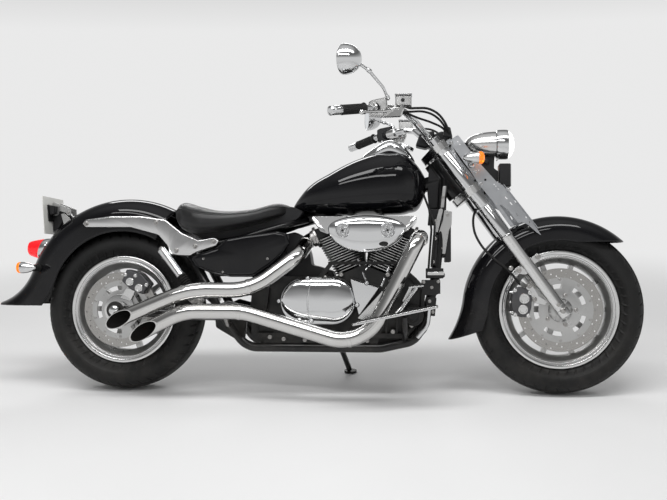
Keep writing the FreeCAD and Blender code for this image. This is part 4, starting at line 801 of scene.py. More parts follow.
rear_port, rear_way = port(-1)
front_port, front_way = port(1)
UPPER_PIPE = [rear_port, rear_port + rear_way * 42, (-136, -190, 522), (-305, -228, 394), (-540, -230, 396),
              (-862, -236, 262)]
LOWER_PIPE = [front_port, front_port + front_way * 38, (316, -212, 594), (112, -236, 184.5),
              (-335, -236, 316), (-560, -236, 316), (-765, -236, 214)]
PIPES = [
    ("exhaust_upper", UPPER_PIPE, [34, 60, 230, 400], [0.24, 0.62]),
    ("exhaust_lower", LOWER_PIPE, [34, 60, 155, 300, 250], [0.30, 0.52, 0.70]),
]
soot_and_shade_cups = []
for node, points, bends, seams in PIPES:
    skin, soot_and_shade = slash_cut_pipe(points, bends)
    soot_and_shade_cups.append(capped(soot_and_shade))
    line = bent(points, bends)
    grids = [capped(skin)]
    for seam in seams:
        at = int(seam * len(line))
        clip = [(-7, 28.6), (-6.5, 30.4), (-2, 30.9), (2, 30.9), (6.5, 30.4), (7, 28.6)]
        grids.append(looped(turned(clip, line[at], line[at + 1] - line[at - 1], 56)))
    shaped_piece(node + "_skin", grids, 38, pipe_chrome, "chassis", [node])
# Nearly black finish for the bore's lining: partly soot, partly painted shade for the shadow deep in the
# pipe.
soot_and_shade_black = cast_or_moulded("exhaust_soot_and_shade", (0.005, 0.0045, 0.004), 0.75, 300.0, 0.0001,
                             film=0.0, Specular_IOR_Level=0.1)
shaped_piece("exhaust_bores", soot_and_shade_cups, 38, soot_and_shade_black, "chassis")
port_rings = []
for centre, way in ((rear_port, rear_way), (front_port, front_way)):
    ring = [(0, 30), (0, 41), (3, 42), (9, 42), (11, 40), (12, 33), (24, 32), (25, 30)]
    port_rings.append(looped(turned(ring, centre, way, 48)))
hanger = bent([(-405, -132.3, 262), (-405, -165, 262), (-405, -222, 300)], [30])
port_rings.append(capped(carried(hanger, 9, 20)))
shaped_piece("exhaust_flanges", port_rings, 35, bare_steel, "chassis")


# Engine: an air-cooled V-twin. Black crackle-enamelled cases and cylinders whose fin edges are
# machined bright, with polished and plated covers bolted on.

dressed("crankcase", engine_black)
dressed("cylinders", engine_black)
dressed("left_case_covers", polished_alloy)
dressed("head_covers", soft_chrome)


def fin_band(lean_angle, number):
    """Machined rim of a fin: rounded rectangle about the bore, swept by a flat four-cornered band."""
    reach, half, corner = 58 + 20 * number / 15, 90, 34
    turn = np.linspace(0, 2 * math.pi, 96, endpoint=False)[None, :]
    rows = np.array([(-1.4, 0.1), (0.35, 0.5), (0.35, 3.5), (-1.4, 3.9)])
    out, rise = rows[:, :1], rows[:, 1:]
    forward = np.sign(np.cos(turn)) * (reach - corner) + (corner + out) * np.cos(turn)
    left = np.sign(np.sin(turn)) * (half - corner) + (corner + out) * np.sin(turn)
    placed = cylinder_local(lean_angle, forward, left, 148.3 + 10 * number + rise + 0 * turn)
    return looped(np.moveaxis(placed, 0, -1))


bands = [fin_band(tilt, number) for tilt in (-22.5, 22.5) for number in range(15)]
shaped_piece("fin_rims", bands, 30, satin_alloy, "chassis")


def outline_ring(points, count, rounds=3):
    """Closed outline softened at its corners and shared out evenly into count points, from (x, z)."""
    soft = softened(points, rounds, closed=True)
    loop = np.concatenate([soft, soft[:1]])
    run = np.concatenate([[0], np.cumsum(np.linalg.norm(np.diff(loop, axis=0), axis=1))])
    at = np.linspace(0, run[-1], count, endpoint=False)
    return np.stack([np.interp(at, run, loop[:, 0]), np.interp(at, run, loop[:, 1])], axis=1)


def domed(outline, centre, layers):
    """Cover on the machine's side: scaled copies of an outline, each at its own Y, shares inward."""
    outline = np.asarray(outline, float)
    centre = np.asarray(centre, float)
    layers = np.asarray(layers, float)
    flat = centre + layers[:, 0, None, None] * (outline - centre)
    across = np.broadcast_to(layers[:, 1, None], flat.shape[:2])
    return np.stack([flat[..., 0], across, flat[..., 1]], axis=-1)


def corner_ring(points, reach, count=160):
    """Outline whose corners alone are softened, over a given reach along each side."""
    points = np.array(points, float)
    on = np.roll(points, -1, axis=0) - points
    size = np.linalg.norm(on, axis=1, keepdims=True)
    step = np.minimum(reach, size * 0.45) / size * on
    held = np.stack([points + step, points + on - step], axis=1).reshape(-1, 2)
    held = np.stack([held[::2], held[1::2], np.roll(points, -1, axis=0)], axis=1).reshape(-1, 2)
    return outline_ring(held, count, 2)


def machine_sheet(outline, low, high, edge=1.0, reach=4, count=120):
    """Sheet or block drawn on the machine's side (x, z), between two values of Y, its rim eased."""
    ring = corner_ring(outline, reach, count)
    middle = ring.mean(axis=0)
    size = np.abs(ring - middle).max()
    return domed(ring, middle, [(1 - edge / size, low), (1.0, low + edge), (1.0, high - edge),
                                (1 - edge / size, high)])


def crown(rim, peak, fullness, steps=26):
    """Layers of a dome: an oval arc whose Y goes from the rim's to the peak's at the middle."""
    share = np.sin(np.linspace(math.pi / 2, 0.03, steps))
    return [(one, rim + (peak - rim) * (1 - one ** fullness) ** 0.5) for one in share]


# Air cleaner: an egg-shaped chromed cover, a shallow half above a deep one, with two round caps
# whose crosses are pressed in, on a black back plate.
turn = np.linspace(0, 2 * math.pi, 160, endpoint=False)
air_outline = np.stack([119 + 144 * np.cos(turn), 625 + np.where(np.sin(turn) > 0, 48, 91) * np.sin(turn)],
                       axis=1)
AIR_WALL = [(0.93, -150), (0.985, -151), (0.995, -154), (0.995, -160), (0.968, -161.5), (0.968, -163.5),
            (0.998, -165)]
air_grids = [domed(air_outline, (119, 622), AIR_WALL + crown(-166.5, -194.2, 2.2))]
turn = np.linspace(0, 2 * math.pi, 72, endpoint=False)
# Painted shade: a black oval standing proud of the cover below the front cap stands for the shade in a
# pressed-in hollow.
recess_painted_shade = np.stack([183 + 17 * np.cos(turn), 566 + 9 * np.sin(turn)], axis=1)
for x in (31, 198):
    air_grids.append(turned([(172, 0), (172, 28), (189, 28), (191.5, 27.4), (193, 25.5), (193, 23),
                             (191.4, 21.5), (191.4, 0)], (x, 0, 616), (0, -1, 0), 72))
    for swing in range(4):
        out = unit([math.cos(swing * math.pi / 2 + 0.5), 0, math.sin(swing * math.pi / 2 + 0.5)])
        boss = np.array([x, 0, 616.0]) + out * 12.5
        air_grids.append(turned([(188, 0), (188, 6.4), (193.4, 6), (195.6, 4), (196.2, 0)],
                                boss, (0, -1, 0), 20))
shaped_piece("air_cleaner_cover", air_grids, 32, chrome, "chassis", ["air_cleaner"])
# Black pieces: the painted-shade oval below the front cap, the back plate and the caps' centres.
dark = [domed(recess_painted_shade, (183, 566), [(1.0, -184), (1.0, -187.2), (0.86, -188.2), (0.5, -187)]),
        machine_sheet([(25, 640), (200, 640), (180, 575), (60, 575)], -151, -106.3, 2, 14)]
dark += [turned([(190, 0), (190, 5), (193, 5), (194.4, 3.4), (194.4, 0)], (x, 0, 616), (0, -1, 0), 6)
         for x in (31, 198)]
shaped_piece("air_cleaner_back", dark, 32, engine_black, "chassis")


# Clutch and cam covers: polished castings on black gaskets, held by socket bolts; the clutch
# cover is a long dome with a raised rib across it, the cam cover a flat triangle.

def stadium(rear, front, height, radius, count=160):
    """Outline of two half circles joined by straight sides, as (x, z)."""
    turn = np.linspace(-math.pi / 2, 1.5 * math.pi, count, endpoint=False)
    middle = np.where(np.cos(turn) > 0, front, rear)
    return np.stack([middle + radius * np.cos(turn), height + radius * np.sin(turn)], axis=1)


CLUTCH_WALL = [(0.97, -120.3), (0.996, -120.8), (1, -123), (1, -156)]
clutch_dome = domed(stadium(-120, -12, 352, 88), (-66, 352), CLUTCH_WALL + crown(-158, -186.2, 2.5))
height = np.linspace(-81, 81, 60)
rise = 158 + 28.2 * (1 - np.abs(height / 88) ** 2.5) ** 0.5
rib = np.stack([-100 + 13 * (height / 88) ** 2, 1.6 - rise, 352 + height], axis=1)
cam_cover = machine_sheet([(58, 436), (166, 403), (90, 299)], -176.4, -121, 3.5, 11)
polished = [clutch_dome, carried(rib, 3.4, 16), cam_cover]
shaped_piece("clutch_cover", polished, 34, chrome, "chassis", ["right_case_covers"])
gaskets = [domed(stadium(-120, -12, 352, 92.5), (-66, 352),
                 [(0.98, -120.2), (1, -121), (1, -132), (0.98, -133)]),
           machine_sheet([(50, 443), (176, 407), (88, 288)], -132, -120.3, 1, 13)]
COVER_BOLTS = [(-101.8, 438, -168), (-132, 284, -176), (-109, 277, -170), (-86.5, 280, -172),
               (119.8, 420.8, -176.4), (84, 338.9, -176.4), (64, 380, -132), (-216, 352, -132)]
gaskets += [turned([(0, 0), (0, 9), (3, 9), (3.4, 8), (3.4, 0)], (x, y, z), (0, -1, 0), 24)
            for x, z, y in COVER_BOLTS[:6]]
shaped_piece("cover_gaskets", gaskets, 34, soft_rubber, "chassis")
heads = bolt_heads([(x, y - 3, z) for x, z, y in COVER_BOLTS], (0, -1, 0), 5.6)
shaped_piece("cover_bolts", heads, 30, chrome, "chassis")


# Small engine parts on the right: pushrod tubes, case bolts and ribs, the pipe shield, and the
# boxes, straps and plate that hang on the front down tube.

def round_bar(start, stop, radius, count=24, ease=0.6):
    """Straight bar with eased ends."""
    start, stop = np.array(start, float), np.array(stop, float)
    size = np.linalg.norm(stop - start)
    return turned([(0, 0), (0, radius - ease), (ease, radius), (size - ease, radius), (size, radius - ease),
                   (size, 0)], start, stop - start, count)


tubes = [round_bar((116.6, -122, 420), (82.6, -108, 511), 4.6),
         round_bar((111, -118, 469), (143, -108, 503), 4.6),
         round_bar((170, -122, 405), (200, -108, 481), 4.6)]
tubes += [turned([(0, 0), (0, 9), (5, 9), (8, 7), (14, 6.4), (14, 0)], base, way, 24)
          for base, way in (((117, -112, 418), (-0.34, 0.04, 0.94)), ((170, -112, 404), (0.36, 0.04, 0.93)))]
shaped_piece("pushrod_tubes", tubes, 30, chrome, "chassis")
CASE_BOLTS = [(-252, 215), (-199, 208), (-118, 205), (-12, 201), (62, 202), (118, 204), (215, 238),
              (285, 262), (146, 261), (-286, 300), (-286, 380), (-240, 432), (20, 452), (-40, 440),
              (196, 452), (250, 412), (300, 398), (-60, 232), (-180, 236), (60, 236)]
heads = bolt_heads([(x, -127, z) for x, z in CASE_BOLTS], (0, -1, 0), 6.4)
heads += bolt_heads([(x, -86, z) for x, z in ((-168, 178), (-60, 176), (60, 176), (140, 180))], (0, -1, 0), 7)
shaped_piece("case_bolts", heads, 30, bare_steel, "chassis")
bosses = [turned([(0, 0), (0, 11), (5.5, 11), (6.8, 9.6), (6.8, 0)], (x, -120, z), (0, -1, 0), 24)
          for x, z in CASE_BOLTS]
for start, stop, half in [((-300, 222), (262, 222), 9), ((262, 222), (322, 292), 7),
                          ((322, 292), (330, 396), 7), ((330, 396), (236, 492), 7),
                          ((-300, 436), (-64, 436), 8), ((-64, 436), (-20, 492), 8),
                          ((-30, 496), (228, 496), 6), ((-306, 228), (-306, 430), 7)]:
    line = np.array([start, stop], float)
    along = (line[1] - line[0]) / np.linalg.norm(line[1] - line[0])
    square = np.array([-along[1], along[0]]) * half
    bosses.append(machine_sheet([line[0] - square, line[1] - square, line[1] + square, line[0] + square],
                                -125.5, -119, 1.5, 3, 60))
bosses += [machine_sheet([(x - 4, 232), (x + 4, 232), (x + 4, 288), (x - 4, 288)], -124, -119, 1, 2, 40)
           for x in (110, 150, 190, 230)]
bosses.append(turned([(0, 0), (0, 38), (52, 38), (58, 34), (58, 20), (62, 18), (62, 0)],
                     (292, -119, 300), (0, -1, 0), 60))
bosses.append(machine_sheet([(-330, 300), (-262, 310), (-250, 404), (-318, 410)], -136, -119, 4, 14))
shaped_piece("case_ribs", bosses, 34, engine_black, "chassis")
shield = machine_sheet([(84, 290), (118, 276), (166, 318), (178, 392)], -151, -147.5, 0.8, 9)
shaped_piece("cam_side_plate", [shield], 30, polished_alloy, "chassis")
pegs = [round_bar((100, -148, 300), (100, -119, 300), 5), round_bar((164, -148, 372), (164, -119, 372), 5)]

# Ahead of the engine: a ribbed cooler between tanks, a satin side plate, straps and two boxes
cooler = machine_sheet([(413, 501), (433, 501), (433, 689), (413, 689)], -60, 60, 1, 2)
tanks = [machine_sheet([(412, 500), (434, 500), (434, 690), (412, 690)], *span, 3, 5)
         for span in ((-76, -58), (58, 76))]
tanks += [round_bar((380, y, z), (414, y, z), 7) for y in (-68, 68) for z in (525, 660)]
shaped_piece("cooler_core", [cooler] + tanks, 30, black_plastic, "chassis", ["oil_cooler"])
rows = [machine_sheet([(432.4, z), (434.2, z), (434.2, z + 1.6), (432.4, z + 1.6)], -57, 57, 0.2, 0.4, 16)
        for z in np.arange(506, 686, 6.5)]
shaped_piece("cooler_fins", rows, 30, dark_alloy, "chassis")
plates = [machine_sheet([(409, 697), (438, 691), (436, 640), (426, 619), (412, 530), (380, 532), (386, 607),
                         (404, 660)], -82, -77.5, 0.8, 5),
          machine_sheet([(389, 700), (404, 698), (384, 612), (366, 612)], -97, -92, 1, 3, 60),
          machine_sheet([(404, 788), (416, 788), (407, 706), (395, 706)], -88, -84, 1, 3, 60)]
shaped_piece("cooler_side_plate", plates, 30, satin_alloy, "chassis")
heads = bolt_heads([(421, -82, 678), (396, -82, 552), (377, -97, 655), (405, -88, 745)], (0, -1, 0), 5)
shaped_piece("cooler_bolts", heads, 30, bare_steel, "chassis")
boxes = [machine_sheet([(338, 438), (404, 438), (404, 476), (338, 476)], -124, -84, 2.5, 6),
         machine_sheet([(322, 376), (370, 372), (392, 384), (392, 432), (322, 432)], -126, -88, 2.5, 10),
         machine_sheet([(336, 300), (372, 296), (378, 366), (340, 368)], -122, -92, 2, 8),
         machine_sheet([(356, 486), (378, 484), (384, 600), (366, 604)], -106, -78, 2, 5),
         machine_sheet([(346, 640), (392, 640), (398, 700), (352, 704)], -70, -34, 3, 10)]
boxes += pegs + [round_bar((372, -90, 430), (372, -122, 430), 6)]
shaped_piece("front_boxes", boxes, 30, black_plastic, "chassis")
stripe = [machine_sheet([(344, 450), (406, 450), (406, 462), (344, 462)], -125.2, -110, 0.5, 1.5, 60),
          machine_sheet([(250, 352), (262, 350), (290, 404), (278, 408)], -128, -121, 1, 3, 60)]
shaped_piece("front_box_stripe", stripe, 30, polished_alloy, "chassis")
heads = bolt_heads([(360, -126, 404), (330, -126, 424), (384, -126, 426), (352, -122, 352), (364, -122, 312),
                    (374, -106, 588), (366, -106, 500)], (0, -1, 0), 5)
shaped_piece("front_box_bolts", heads, 30, bare_steel, "chassis")
wires = [[(352, -100, 700), (372, -116, 640), (368, -112, 560), (360, -116, 480)],
         [(300, -60, 800), (330, -70, 760), (352, -76, 700), (360, -96, 620), (352, -110, 520),
          (346, -118, 440)],
         [(330, -116, 300), (344, -126, 250), (310, -130, 214), (250, -128, 208)]]
looms = [carried(bent(run, [30] * (len(run) - 2)), 4.2, 12) for run in wires]
shaped_piece("engine_wires", looms, 40, soft_rubber, "chassis")
dressed("horn_and_regulator", black_plastic)

# Moulded black cases behind the engine, between the cylinders and behind the steering head.
FILLERS = [
    # outline, half width
    ([(-222, 330), (-222, 606), (-168, 618), (-134, 600), (-109.5, 533.5), (-102, 489.6), (-77.5, 484.7),
      (-48, 475), (-18.8, 465), (-10, 430), (-10, 330)], 46),
    ([(62, 470), (62, 566), (102, 548), (104, 497), (96, 470)], 60),
    ([(120, 470), (113, 497), (118, 548), (160, 566), (160, 470)], 60),
    ([(346, 770), (352, 872), (388, 892), (410, 852), (404, 790), (392, 706), (352, 704)], 27),
]
fillers = [machine_sheet(outline, -half, half, 5, 12) for outline, half in FILLERS]
shaped_piece("cases_behind_engine", fillers, 34, black_plastic, "chassis")


# Footboards: alloy boards with ribbed rubber mats, on bent arms; the brake pedal, the shift lever
# and the curved guards ahead of them.

BOARD_SLOPE = (341 - 277) / (379 - 79)


def board_piece(start, stop, low, high, top, bottom, reach=3):
    """Slab that follows the board's slope between two values of X, rounded in plan."""
    half = (high - low) / 2
    plan = corner_ring([(start, low), (stop, low), (stop, high), (start, high)], reach, 100)
    rows = []
    for lift, draw in ((bottom, 0.6), (bottom + 1, 0), (top - 1, 0), (top, 0.6)):
        ring = plan + np.where(plan > plan.mean(axis=0), -draw, draw)
        rows.append(np.stack([ring[:, 0], ring[:, 1], 277 + BOARD_SLOPE * (ring[:, 0] - 79) + lift], axis=-1))
    return np.stack(rows)


boards, mats, arms, guards = [], [], [], []
for side in (-1, 1):
    low, high = sorted((side * 272, side * 362))
    boards.append(board_piece(79, 379, low, high, 4, -5, 34))
    boards.append(board_piece(214, 352, *sorted((side * 226, side * 273)), -1, -9, 6))
    mats.append(board_piece(92, 366, low + 9, high - 9, 6.2, 3.8, 26))
    mats += [board_piece(x, x + 8, low + 15, high - 15, 8.4, 5.8, 3) for x in np.arange(104, 350, 17)]
    arms.append(carried(
        bent([(262, side * 108, 203), (262, side * 196, 245), (262, side * 256, 303)], [60]), 10))
    guards.append(carried(
        bent([(350, side * 145, 334), (344, side * 145, 264), (305, side * 145, 218)], [60]), 9))
    guards.append(round_bar((346, side * 145, 300), (342, side * 118, 300), 7))
    guards.append(turned([(-3, 0), (-3, 11), (3, 11), (3, 0)], (350, side * 145, 334), (6, 0, 70), 24))
shaped_piece("footboard_plates", boards, 34, soft_chrome, "chassis", ["floorboards"])
shaped_piece("footboard_mats", mats, 34, soft_rubber, "chassis")
shaped_piece("footboard_arms", arms, 40, frame_black, "chassis")
shaped_piece("footboard_guards", guards, 40, chrome, "chassis")
foot = np.array([232, -248, 309.2])
head = foot + [72, 6, 98]
LEFTWARD = np.array([1, -1, 1])
lever_line = bent([foot + [-8, 0, -6], foot + [20, 3, 24], head], [30])
levers = [carried(lever_line, 7.5), carried(lever_line * LEFTWARD, 7.5),
          machine_sheet([(head[0] - 28, head[2] - 4), (head[0] + 26, head[2] + 2),
                         (head[0] + 26, head[2] + 7), (head[0] - 28, head[2] + 1)],
                        -270, -216, 1.5, 2, 60)]
shaped_piece("foot_lever_arms", levers, 34, soft_chrome, "chassis", ["foot_levers"])
pads = [machine_sheet([(head[0] - 25 + step, head[2] + 1), (head[0] - 19 + step, head[2] + 2),
                       (head[0] - 19 + step, head[2] + 10), (head[0] - 25 + step, head[2] + 9)],
                      -264, -222, 1, 1.5, 40) for step in (0, 9, 18, 27, 36)]
peg = head * LEFTWARD
pads.append(turned([(-24, 0), (-24, 9), (-20, 11), (20, 11), (24, 9), (24, 0)], peg, ALONG_Y, 28))
shaped_piece("foot_lever_rubbers", pads, 34, soft_rubber, "chassis")


# Tyres: black rubber on 16 and 15 inch rims, a round crown with three grooves round it and
# slanted grooves on its shoulders, smooth side walls with a scuff rib.

FRONT_AXLE = np.array([837.0, 0.0, 320.0])
REAR_AXLE = np.array([-850.0, 0.0, 315.0])


def tyre_skin(axle, radius, width, bead, rim_half, rows=900):
    """Section from bead to bead swept round the axle; grooves are dents in its radius."""
    wall = (radius - bead) / 117
    section = [(bead + 22, rim_half - 11), (bead + 31, rim_half - 3), (bead + 38, rim_half + 8),
               (bead + 50 * wall, width / 2 - 4), (bead + 62 * wall, width / 2 - 0.5),
               (bead + 76 * wall, width / 2 - 3), (radius - 24 * wall, width * 0.43),
               (radius - 12 * wall, width * 0.335), (radius - 4.6 * wall, width * 0.215),
               (radius - 0.8, width * 0.09), (radius, 0)]
    half = softened(section, 2)
    run = np.concatenate([[0], np.cumsum(np.linalg.norm(np.diff(half, axis=0), axis=1))])
    at = np.linspace(0, run[-1], 58)
    half = np.stack([np.interp(at, run, half[:, 0]), np.interp(at, run, half[:, 1])], axis=1)
    profile = np.concatenate([half, half[-2::-1] * [1, -1]])
    across = profile[:, 1][None, :]
    turn = np.linspace(0, 2 * math.pi, rows, endpoint=False)[:, None]
    share = np.abs(across) / (width / 2)
    wave = 2.2 * np.sin(turn * 30)
    ring = np.minimum(np.abs(across) / 4.2, np.abs(np.abs(across) - 0.30 * width + wave) / 4.2)
    slant = np.mod(turn * 45 / (2 * math.pi) + 1.25 * share, 1.0)
    slot = np.abs(slant - 0.5) * 2 * math.pi * radius / 45 / 3.4
    shoulder = np.clip((share - 0.42) / 0.06, 0, 1) * np.clip((0.90 - share) / 0.06, 0, 1)
    depth = 5.5 * np.clip(1.5 - ring, 0, 1) * np.clip((0.8 - share) / 0.1, 0, 1)
    depth = np.maximum(depth, 5.0 * np.clip(1.4 - slot, 0, 1) * shoulder)
    out = profile[:, 0][None, :] - depth
    grid = np.stack([axle[0] + out * np.cos(turn), across + 0 * out, axle[2] + out * np.sin(turn)], axis=-1)
    back = np.array([(bead + 14, rim_half - 18), (bead + 14, 18 - rim_half)])
    inner = np.stack([axle[0] + back[:, 0] * np.cos(turn), back[:, 1] + 0 * turn,
                      axle[2] + back[:, 0] * np.sin(turn)], axis=-1)
    return np.concatenate([inner[:, :1], grid, inner[:, 1:]], axis=1)


def tread_mesh(name, grid):
    """Ring-shaped mesh: rows go round the axle and columns round the section."""
    rows, columns = grid.shape[:2]
    mesh = bpy.data.meshes.new(name)
    faces = grid_faces(rows, columns, round_rows=True)[:, ::-1]
    mesh.from_pydata(lean(grid.reshape(-1, 3)).tolist(), [], faces.tolist())
    smooth_faces(mesh, 42)
    return mesh


def radius_from_axle(tree, where, axle):
    """Distance from an axle's line, in metres: object coordinates shifted and turned upright."""
    centre = lean(axle)
    shifted = add(tree, "ShaderNodeVectorMath", {0: where, 1: tuple(centre)}, operation="SUBTRACT").outputs[0]
    upright = add(tree, "ShaderNodeMapping", {"Vector": shifted, "Rotation": (LEAN, 0, 0)}).outputs[0]
    parts = add(tree, "ShaderNodeSeparateXYZ", {0: upright}).outputs
    flat = add(tree, "ShaderNodeCombineXYZ", {"X": parts["X"], "Z": parts["Z"]}).outputs[0]
    radius = add(tree, "ShaderNodeVectorMath", {0: flat}, operation="LENGTH").outputs["Value"]
    return radius, parts


def make_tyre_rubber(name, axle, radius, bead):
    """Matt rubber: dusty worn crown, faint rings moulded in the wall."""
    made, tree, bsdf, where = finish(name, Specular_IOR_Level=0.22)
    reach, parts = radius_from_axle(tree, where, axle)
    fine = use_group(tree, grain, {"Where": where, "Size": 420.0, "Colour": (0.011, 0.011, 0.011, 1),
                                   "Spread": 0.25})
    worn = remap(tree, reach, (radius - 14) / 1000, (radius - 1) / 1000)
    toned = add(tree, "ShaderNodeMix", {"Factor": calc(tree, "MULTIPLY", worn, 0.55), 6: fine["Colour"],
                                        7: (0.026, 0.0255, 0.025, 1)}, data_type="RGBA").outputs[2]
    dusty = use_group(tree, road_film, {"Where": where, "Colour": toned, "Roughness": 0.55, "Amount": 0.06,
                                        "Top": 0.5})
    tree.links.new(dusty["Colour"], bsdf.inputs["Base Color"])
    tree.links.new(dusty["Roughness"], bsdf.inputs["Roughness"])
    ribs = calc(tree, "SINE", calc(tree, "MULTIPLY", reach, 1150.0))
    low = remap(tree, reach, (bead + 36) / 1000, (bead + 40) / 1000)
    high = remap(tree, reach, (radius - 46) / 1000, (radius - 42) / 1000, 1.0, 0.0)
    height = calc(tree, "MULTIPLY", calc(tree, "MULTIPLY", ribs, low), high)
    height = calc(tree, "ADD", calc(tree, "MULTIPLY", height, 0.25),
                  calc(tree, "MULTIPLY", fine["Height"], 0.2))
    surface_bump(tree, bsdf, height, 0.0006)
    return made


# Wheels: cast alloy, ten spokes, the rim's lip polished and the spokes satin with a road film.
def make_wheel_alloy(name, axle, bead):
    """Satin casting whose lip, past the bead's radius, is polished."""
    made, tree, bsdf, where = finish(name, Metallic=1.0)
    reach, parts = radius_from_axle(tree, where, axle)
    lip = remap(tree, reach, (bead - 4) / 1000, (bead - 1) / 1000)
    marks = use_group(tree, wiping_marks, {"Where": where, "Size": 14.0, "Low": 0.26, "High": 0.42})
    rough = add(tree, "ShaderNodeMix", {"Factor": lip, 2: marks["Roughness"], 3: 0.10}, data_type="FLOAT")
    tone = add(tree, "ShaderNodeMix", {"Factor": lip, 6: (0.50, 0.50, 0.495, 1), 7: (0.68, 0.68, 0.68, 1)},
               data_type="RGBA").outputs[2]
    dusty = use_group(tree, road_film, {"Where": where, "Colour": tone, "Roughness": rough.outputs[0],
                                        "Amount": 0.25, "Top": 0.5})
    tree.links.new(dusty["Colour"], bsdf.inputs["Base Color"])
    tree.links.new(dusty["Roughness"], bsdf.inputs["Roughness"])
    surface_bump(tree, bsdf, marks["Height"], 0.00001, 0.0015)
    return made


def make_disc_steel(name, axle, inner):
    """Ground steel for the drilled band: fine rings round the axle, warm where the pads run."""
    made, tree, bsdf, where = finish(name, Metallic=1.0)
    reach, parts = radius_from_axle(tree, where, axle)
    rings = add(tree, "ShaderNodeTexNoise",
                {"Vector": add(tree, "ShaderNodeCombineXYZ", {"X": reach}).outputs[0],
                 "Scale": 900.0, "Detail": 2.0}).outputs["Fac"]
    band = remap(tree, reach, (inner + 1) / 1000, (inner + 4) / 1000)
    tone = add(tree, "ShaderNodeMix", {"Factor": band, 6: (0.55, 0.55, 0.54, 1), 7: (0.40, 0.39, 0.375, 1)},
               data_type="RGBA").outputs[2]
    tree.links.new(tone, bsdf.inputs["Base Color"])
    tree.links.new(remap(tree, rings, 0.3, 0.7, 0.22, 0.38), bsdf.inputs["Roughness"])
    surface_bump(tree, bsdf, rings, 0.00008, 0.0004)
    return made


def pierced(name, mesh, cutter):
    """Mesh with a cutter's volume taken out by a Boolean, applied."""
    blank = bpy.data.objects.new("blank", mesh)
    tool = bpy.data.objects.new("tool", cutter)
    for made in (blank, tool):
        bpy.context.scene.collection.objects.link(made)
    cut = blank.modifiers.new("cut", "BOOLEAN")
    cut.object = tool
    cut.operation = "DIFFERENCE"
    cut.solver = "EXACT"
    bpy.context.view_layer.update()
    ready = blank.evaluated_get(bpy.context.evaluated_depsgraph_get())
    result = bpy.data.meshes.new_from_object(ready)
    result.name = name
    for made in (blank, tool):
        bpy.data.objects.remove(made)
    smooth_faces(result, 30)
    return result


def curved_slot(axle, y, radius, spread, width, start, count=14):
    """Slot through a disc: a strip along an arc about the axle with round ends."""
    swing = np.radians(np.linspace(start, start + spread, count))
    inner = np.stack([(radius - width / 2) * np.cos(swing), (radius - width / 2) * np.sin(swing)], axis=1)
    outer = np.stack([(radius + width / 2) * np.cos(swing), (radius + width / 2) * np.sin(swing)], axis=1)
    outline = softened(np.concatenate([inner, outer[::-1]]), 2, closed=True) + [axle[0], axle[2]]
    return np.stack([np.stack([outline[:, 0], np.full(len(outline), at), outline[:, 1]], axis=1)
                     for at in (y - 9, y + 14)])


def brake_disc(end, axle, y, radius, inner, hub):
    """Braking band, drilled, on a dished carrier with five curved slots and five bolts."""
    band = [(y, inner), (y, radius - 0.6), (y + 0.6, radius), (y + 4.4, radius), (y + 5, radius - 0.6),
            (y + 5, inner)]
    carrier = [(y - 1.5, hub + 0.6), (y - 1.5, hub + 20), (y - 0.2, hub + 26), (y - 0.2, inner + 3),
               (y + 4.6, inner + 3), (y + 4.6, hub + 0.6)]
    blank = skin_mesh("blank", [looped(turned(band, axle * [1, 0, 1], ALONG_Y, 144))], 30)
    drills = []
    for ring in range(3):
        for number in range(15):
            swing = math.radians(number * 24 + ring * 8)
            at = inner + 9 + ring * (radius - inner - 18) / 2
            centre = axle + [at * math.cos(swing), y - 3, at * math.sin(swing)]
            drills.append(turned([(0, 0), (0, 3), (12, 3), (12, 0)], centre, ALONG_Y, 14))
    disc = pierced(end + "_disc_band", blank, skin_mesh("drills", drills, 30))
    placed_piece(end + "_disc_band", disc, make_disc_steel(end + "_disc_steel", axle, inner),
                 end + "_wheel_body", [end + "_disc"])
    blank = skin_mesh("blank", [looped(turned(carrier, axle * [1, 0, 1], ALONG_Y, 144))], 30)
    slots = [curved_slot(axle, y, (hub + inner) / 2 + 8, 44, 17, 72 * n + 14) for n in range(5)]
    disc = pierced(end + "_disc_carrier", blank, skin_mesh("slots", slots, 30))
    placed_piece(end + "_disc_carrier", disc, satin_alloy, end + "_wheel_body")
    bolts = []
    for reach, size, count, turn in ((hub + 13, 7, 5, 0), (inner - 4, 5, 10, 18)):
        swing = np.radians(np.arange(count) * 360 / count + turn)
        centres = axle + np.stack([reach * np.cos(swing), np.full(count, y - (1.5 if count == 5 else -2.6)),
                                   reach * np.sin(swing)], axis=1)
        bolts += bolt_heads(centres, -ALONG_Y, size)
    shaped_piece(end + "_disc_bolts", bolts, 30, bare_steel, end + "_wheel_body")


def wheel_trim(axle, bead, half):
    """Polished lips standing round the rim, with a stepped inner edge."""
    grids = []
    for side in (-1, 1):
        lip = [(half - 16, bead - 6), (half - 4, bead - 8), (half + 0.5, bead - 5), (half + 1.5, bead - 1),
               (half - 1.5, bead + 1), (half - 1.8, bead + 4), (half + 1.5, bead + 6), (half + 3, bead + 12),
               (half + 2.5, bead + 18), (half + 0.5, bead + 21), (half - 2.5, bead + 21.5),
               (half - 4.5, bead + 19), (half - 5, bead + 12), (half - 10, bead + 3), (half - 16, bead + 1)]
        lip = softened(np.array(lip) * [side, 1], 1)
        grids.append(looped(turned(lip, axle, ALONG_Y, 160)))
    return grids


